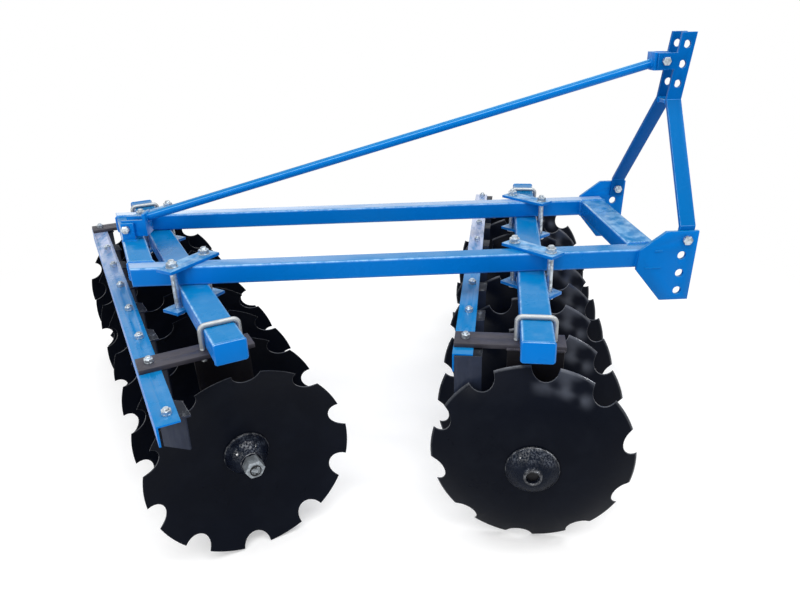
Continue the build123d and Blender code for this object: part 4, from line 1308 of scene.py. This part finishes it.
class HARROW_OT_bolts(bpy.types.Operator):
    """Hexagon bolts of the clamps, scrapers, stay and mast, and the nuts at the gangs' ends"""
    bl_idname = "harrow.bolts"
    bl_label = "Bolts"

    def execute(self, context):
        size = context.scene.harrow_fasteners
        rule = bolt_rule()
        for node, axis, shank, half_flat, head, nut, stand_out, washer_width in BOLT_ROWS:
            rows = [self.place(low, high, axis, head, nut + stand_out) for low, high in solid_boxes(node)]
            sizes = {"Shank": shank, "Half flat": half_flat, "Head height": head, "Nut height": nut,
                     "Stand out": stand_out, "Washer": size.washer, "Washer width": washer_width,
                     "Pitch": size.pitch, "Depth": size.depth}
            grown(node + "_dressed", rule, "zinc", FRAME_BODY, sizes, start=places_mesh(node, rows),
                  replaces=(node,))
        self.gang_nuts(size)
        return {"FINISHED"}

    def place(self, low, high, axis, head, tail):
        """Seat, turn and grip of the bolt in one solid's box. Where an upright bolt stands decides how its
        head is turned, and mirrored bolts have their heads on the outer sides."""
        middle = (low + high) / 2
        if axis == "z":
            seat = low.z + head
            turn = (0, 0, middle.x * 7 + middle.y * 3)
            return Vector((middle.x, middle.y, seat)), turn, high.z - tail - seat
        if axis == "mirrored y" and middle.y > 0:
            start, end, turn = high.y - head, low.y + tail, (pi / 2, 0, 0)
        else:
            start, end, turn = low.y + head, high.y - tail, (-pi / 2, 0, 0)
        return Vector((middle.x, start, middle.z)), turn, abs(end - start)

    def gang_nuts(self, size):
        """The nut at the hollow end of each gang."""
        rule = gang_nut_rule()
        for gang in GANG_NAMES:
            matrix = gang_place(gang)
            hollow = HOLLOW_SIDE[gang]
            low, high = whole_box("gang_nut_" + gang, matrix)
            shaft_low, shaft_high = whole_box("gang_shaft_" + gang, matrix)
            seat, stand_out = (low.y, shaft_high.y - high.y) if hollow > 0 else (high.y, low.y - shaft_low.y)
            place = matrix @ Matrix.Translation((0, seat, 0)) @ Matrix.Rotation(-hollow * pi / 2, 4, "X")
            sizes = {"Half flat": size.gang_nut, "Height": high.y - low.y, "Stub": size.stub,
                     "Stand out": stand_out, "Pitch": GANG_THREAD_PITCH, "Depth": GANG_THREAD_DEPTH}
            grown("end_nut_" + gang, rule, "nut", GANG_BODIES[gang], sizes, matrix=place,
                  replaces=("gang_nut_" + gang,))


# U-bolts: from the middle to a leg, how far the leg stands out below its nut, and the sizes of thread, nut
# and washer. The nut's height is taken with its washer, whose width is a share of the nut's
LEG_OFFSET = 0.042
LEG_TAIL = 0.008
U_BOLT_SIZES = {"Thread length": 0.034, "Pitch": 0.00175, "Half flat": 0.009, "Nut height": 0.010,
                "Washer": 0.002, "Washer width": 1.2}


class HARROW_OT_u_bolts(bpy.types.Operator):
    """U-bolts that hold the cross arms to the beams"""
    bl_idname = "harrow.u_bolts"
    bl_label = "U-bolts"

    def execute(self, context):
        size = context.scene.harrow_fasteners
        rule = u_bolt_rule()
        sizes = {**U_BOLT_SIZES, "Radius": size.u_bolt, "Bend": size.bend, "Depth": size.depth,
                 "Nut level": U_BOLT_SIZES["Nut height"] + LEG_TAIL}
        for gang in GANG_NAMES:
            matrix = gang_place(gang)
            paths = []
            for low, high in solid_boxes("u_bolts_" + gang, matrix):
                middle = (low + high) / 2
                top = high.z - size.u_bolt
                left, right = middle.x - LEG_OFFSET, middle.x + LEG_OFFSET
                corners = ((left, low.z), (left, top), (right, top), (right, low.z))
                paths.append(([matrix @ Vector((x, middle.y, z)) for x, z in corners], False))
            start = path_mesh("u_bolts_" + gang, paths)
            feet = start.attributes.new("foot", "FLOAT", "POINT")
            feet.data.foreach_set("value", (1.0, 0.0, 0.0, 1.0) * len(paths))
            grown("bent_bolts_" + gang, rule, "galvanised", FRAME_BODY, sizes, start=start,
                  replaces=("u_bolts_" + gang,))
        return {"FINISHED"}


# Weld beads: name, kind of finish, radius of the bead, radius of its corners, length of one ripple
WELD_ROWS = (
    ("tube_welds", "edge", 0.0054, 0.006, 0.0070),
    ("plate_welds", "blue", 0.0036, 0.0005, 0.0045),
    ("plug_welds", "blue", 0.0024, 0.0005, 0.0045),
    ("hanger_welds", "black", 0.0040, 0.002, 0.0050),
    ("end_welds", "edge", 0.0016, 0.006, 0.0030),
)

# How deep a bead sinks into its joint
BEAD_SINK = 0.001

# Seams across the hitch plates: below a rail's top and above its bottom, where each starts and where both end
SEAM_DROP, SEAM_RISE = 0.003, 0.002
SEAM_STARTS, SEAM_END = (0.044, 0.022), 0.064

# Upright seams of the hitch plates: how far they stop short of a rail's top and bottom, and by which share of
# the plate's height over the rail their upper ends lie further forward
UPRIGHT_INSET = 0.005
UPRIGHT_LEAN = 1 / 9

# Width of a hanger, thickness of a beam's cap, and how far inside the stay pipe's outer ring a point may lie
HANGER_WIDTH = 0.124
CAP_THICKNESS = 0.004
RING_DEPTH = 0.0015


def loop_y(x0, x1, y, z0, z1):
    """Corners of a rectangle at one Y."""
    return [Vector((x, y, z)) for x, z in ((x0, z0), (x1, z0), (x1, z1), (x0, z1))]


def loop_z(x0, x1, y0, y1, z):
    """Corners of a rectangle at one Z."""
    return [Vector((x, y, z)) for x, y in ((x0, y0), (x1, y0), (x1, y1), (x0, y1))]


class HARROW_OT_welds(bpy.types.Operator):
    """Weld beads where tubes, plates, hangers and end caps are joined"""
    bl_idname = "harrow.welds"
    bl_label = "Welds"

    def execute(self, context):
        rule = weld_rule()
        for name, kind, radius, corner, ripple in WELD_ROWS:
            start = path_mesh(name, getattr(self, name)())
            grown(name, rule, kind, FRAME_BODY, {"Radius": radius, "Corner": corner, "Ripple": ripple},
                  start=start)
        return {"FINISHED"}

    def tube_welds(self):
        """Round both ends of both cross tubes."""
        lines = []
        for node in ("cross_tube_front", "cross_tube_rear"):
            corners = [vert.co for vert in NODES[node].data.vertices]
            low, high = whole_box(node)
            for y, out in ((low.y, -1), (high.y, 1)):
                across = [co.x for co in corners if abs(co.y - y) < MERGE]
                lines.append((loop_y(min(across), max(across), y - out * BEAD_SINK, low.z + BEAD_SINK,
                                     high.z - BEAD_SINK), True))
        return lines

    def hitch_sides(self):
        """Box of each hitch plate, box of the rail that it stands on, and whether they are on the right."""
        for side in ("right", "left"):
            yield whole_box("hitch_plate_" + side), whole_box("rail_" + side), side == "right"

    def plug_welds(self):
        """Thin seams across the outer faces of the hitch plates, level with the rails' edges."""
        lines = []
        for (low, high), (rail_low, rail_high), right in self.hitch_sides():
            face = low.y if right else high.y
            for z, start in zip((rail_high.z - SEAM_DROP, rail_low.z + SEAM_RISE), SEAM_STARTS):
                lines.append(([Vector((low.x + ahead, face, z)) for ahead in (start, SEAM_END)], False))
        return lines

    def plate_welds(self):
        """Hitch plates on the rails, mast spacer, stay lugs and the stay's pipe in its yokes."""
        lines = []
        for (low, high), (rail_low, rail_high), right in self.hitch_sides():
            face = rail_low.y if right else rail_high.y
            lean = (high.z - rail_high.z) * UPRIGHT_LEAN
            ends = (lean, rail_high.z - UPRIGHT_INSET), (BEAD_SINK, rail_low.z + UPRIGHT_INSET)
            lines.append(([Vector((low.x + ahead, face, z)) for ahead, z in ends], False))
        low, high = whole_box("mast_spacer")
        for y in (low.y, high.y):
            lines.append((loop_y(low.x, high.x, y, low.z, high.z), True))
        for low, high in solid_boxes("stay_lugs"):
            lines.append((loop_z(low.x, high.x, low.y, high.y, low.z), True))
        return lines + [(self.pipe_end(end), True) for end in (min, max)]

    def pipe_end(self, end):
        """Points round the stay pipe at its rear or front end, which min or max picks."""
        verts = NODES["stay_pipe"].data.vertices
        x = end(vert.co.x for vert in verts)
        ring = {tuple(round(value, 6) for value in vert.co) for vert in verts if abs(vert.co.x - x) < MERGE}
        heights = [co[2] for co in ring]
        y = sum(co[1] for co in ring) / len(ring)
        z = (max(heights) + min(heights)) / 2
        reach = max(hypot(co[1] - y, co[2] - z) for co in ring)
        outer = [co for co in ring if hypot(co[1] - y, co[2] - z) > reach - RING_DEPTH]
        outer.sort(key=lambda co: atan2(co[1] - y, co[2] - z))
        return [Vector(co) for co in outer[::2]]

    def hanger_welds(self):
        """Round the upper ends of the hangers, under the cross arms."""
        lines = []
        for gang in GANG_NAMES:
            matrix = gang_place(gang)
            for low, high in solid_boxes("hangers_" + gang, matrix):
                loop = loop_z(low.x, low.x + HANGER_WIDTH, low.y, high.y, high.z)
                lines.append(([matrix @ corner for corner in loop], True))
        return lines

    def end_welds(self):
        """Seams of the caps that close the gang beams."""
        lines = []
        for gang in GANG_NAMES:
            matrix = gang_place(gang)
            low, high = whole_box("gang_beam_" + gang, matrix)
            for y in (low.y + CAP_THICKNESS, high.y - CAP_THICKNESS):
                lines.append(([matrix @ corner for corner in loop_y(low.x, high.x, y, low.z, high.z)], True))
        return lines


# Lamps: name, setting that holds the power, width, place and the point that each looks at
LAMP_ROWS = (
    ("overhead", "overhead", 5.4, (0.2, -0.9, 5.0), (0.0, 0.0, 0.4)),
    ("fill", "fill", 2.4, (-1.9, -3.2, 2.2), (0.0, 0.0, 0.5)),
    ("glint_left", "glint", 0.35, (-1.9, -2.4, 1.1), (0.4, -0.7, 0.25)),
    ("glint_right", "glint", 0.35, (2.6, -0.7, 2.2), (-0.2, -0.5, 0.25)),
)
WHITE = (1, 1, 1, 1)

# The floor: how far below the discs it lies, its own glow, and where it fades into white round the machine
FLOOR_GAP = 0.0005
FLOOR_GLOW = 0.30
FLOOR_FADE = (0.9, 2.2)
WORLD_LIGHT = 0.55

# The camera, solved from points of the machine in the photograph
CAMERA_PLACE = (0.10883, -1.81775, 1.16694)
CAMERA_TURNS = {"yaw": 2.97, "pitch": 22.59, "roll": -1.18}
CAMERA_LENS = {"sensor_width": 36.0, "lens": 29.954, "shift_x": -0.01987, "shift_y": -0.01848,
               "clip_start": 0.05}


class HARROW_OT_studio(bpy.types.Operator):
    """Pale floor, white surroundings, soft lights and the camera of the photograph"""
    bl_idname = "harrow.studio"
    bl_label = "Studio"

    def execute(self, context):
        size = context.scene.harrow_studio
        self.floor(size.floor)
        self.world(context)
        for name, setting, width, place, aim in LAMP_ROWS:
            self.lamp(name, getattr(size, setting), width, place, aim)
        self.camera(context)
        context.scene.view_settings.view_transform = "Standard"
        return {"FINISHED"}

    def floor(self, pale):
        """Pale floor that keeps the shadow near the machine and is white further out."""
        mesh = bmesh.new()
        bmesh.ops.create_grid(mesh, x_segments=2, y_segments=2, size=60.0)
        data = bpy.data.meshes.new("floor")
        mesh.to_mesh(data)
        mesh.free()
        tree = Finish("floor")
        seen = tree.add("ShaderNodeLightPath")["Is Camera Ray"]
        across, along, _ = tree.parts(tree.place)
        away = (across * across + along * along).call("SQRT").between(*FLOOR_FADE) * seen
        paint = tree.add("ShaderNodeBsdfDiffuse", None, {"Color": (*pale, 1.0)})
        glow = tree.add("ShaderNodeEmission", None, {"Color": WHITE, "Strength": seen * FLOOR_GLOW})
        near = tree.add("ShaderNodeAddShader", None, {0: paint, 1: glow})
        white = tree.add("ShaderNodeEmission", None, {"Color": WHITE, "Strength": 1.0})
        both = tree.add("ShaderNodeMixShader", None, {0: away, 1: near, 2: white})
        tree.add("ShaderNodeOutputMaterial", None, {"Surface": both})
        data.materials.append(tree.material)
        data.transform(Matrix.Translation((0, 0, -FLOOR_GAP)))
        add_object("floor", data)

    def world(self, context):
        """White where it is seen, itself or in paint and metal, and softer as a light."""
        world = bpy.data.worlds.new("studio")
        context.scene.world = world
        world.use_nodes = True
        tree = Tree(world.node_tree)
        world.node_tree.nodes.clear()
        path = tree.add("ShaderNodeLightPath")
        seen = path["Is Camera Ray"] + path["Is Transmission Ray"] + path["Is Glossy Ray"]
        white = tree.add("ShaderNodeBackground", None, {"Color": WHITE, "Strength": 1.0})
        soft = tree.add("ShaderNodeBackground", None, {"Color": WHITE, "Strength": WORLD_LIGHT})
        mixed = tree.add("ShaderNodeMixShader", None, {0: seen.call("MINIMUM", 1.0), 1: soft, 2: white})
        tree.add("ShaderNodeOutputWorld", None, {"Surface": mixed})

    def lamp(self, name, strength, width, place, aim):
        light = bpy.data.lights.new(name, "AREA")
        light.energy = strength
        light.shape = "SQUARE"
        light.size = width
        lamp = add_object(name, light)
        lamp.location = place
        lamp.rotation_euler = (Vector(aim) - Vector(place)).to_track_quat("-Z", "Y").to_euler()

    def camera(self, context):
        yaw, pitch, roll = (radians(angle) for angle in CAMERA_TURNS.values())
        forward = Vector((sin(yaw) * cos(pitch), cos(yaw) * cos(pitch), -sin(pitch)))
        level = Vector((cos(yaw), -sin(yaw), 0))
        upright = level.cross(forward)
        right = level * cos(roll) + upright * sin(roll)
        up = upright * cos(roll) - level * sin(roll)
        data = bpy.data.cameras.new("camera")
        for name, value in CAMERA_LENS.items():
            setattr(data, name, value)
        camera = add_object("camera", data)
        matrix = Matrix((right, up, -forward)).transposed().to_4x4()
        matrix.translation = CAMERA_PLACE
        camera.matrix_world = matrix
        context.scene.camera = camera


GROUPS = {"harrow_discs": HarrowDiscs, "harrow_castings": HarrowCastings,
          "harrow_fasteners": HarrowFasteners, "harrow_finish": HarrowFinish, "harrow_studio": HarrowStudio}
STEPS = (HARROW_OT_studio, HARROW_OT_plates, HARROW_OT_discs, HARROW_OT_castings, HARROW_OT_bolts,
         HARROW_OT_u_bolts, HARROW_OT_welds)


class HARROW_PT_panel(bpy.types.Panel):
    """Builds the harrow's pieces one by one"""
    bl_idname = "HARROW_PT_panel"
    bl_label = "Disc harrow"
    bl_space_type = "VIEW_3D"
    bl_region_type = "UI"
    bl_category = "Harrow"

    def draw(self, context):
        for group in GROUPS:
            box = self.layout.box()
            settings = getattr(context.scene, group)
            for name in settings.bl_rna.properties.keys():
                if name not in ("rna_type", "name"):
                    box.prop(settings, name)
        for step in STEPS:
            self.layout.operator(step.bl_idname)


CLASSES = (*GROUPS.values(), *STEPS, HARROW_PT_panel)


def register():
    for one in CLASSES:
        bpy.utils.register_class(one)
    for name, group in GROUPS.items():
        setattr(bpy.types.Scene, name, PointerProperty(type=group))


def unregister():
    for name in GROUPS:
        delattr(bpy.types.Scene, name)
    for one in reversed(CLASSES):
        bpy.utils.unregister_class(one)


def main():
    register()
    for step in STEPS:
        group, name = step.bl_idname.split(".")
        getattr(getattr(bpy.ops, group), name)()


if __name__ == "__main__":
    main()
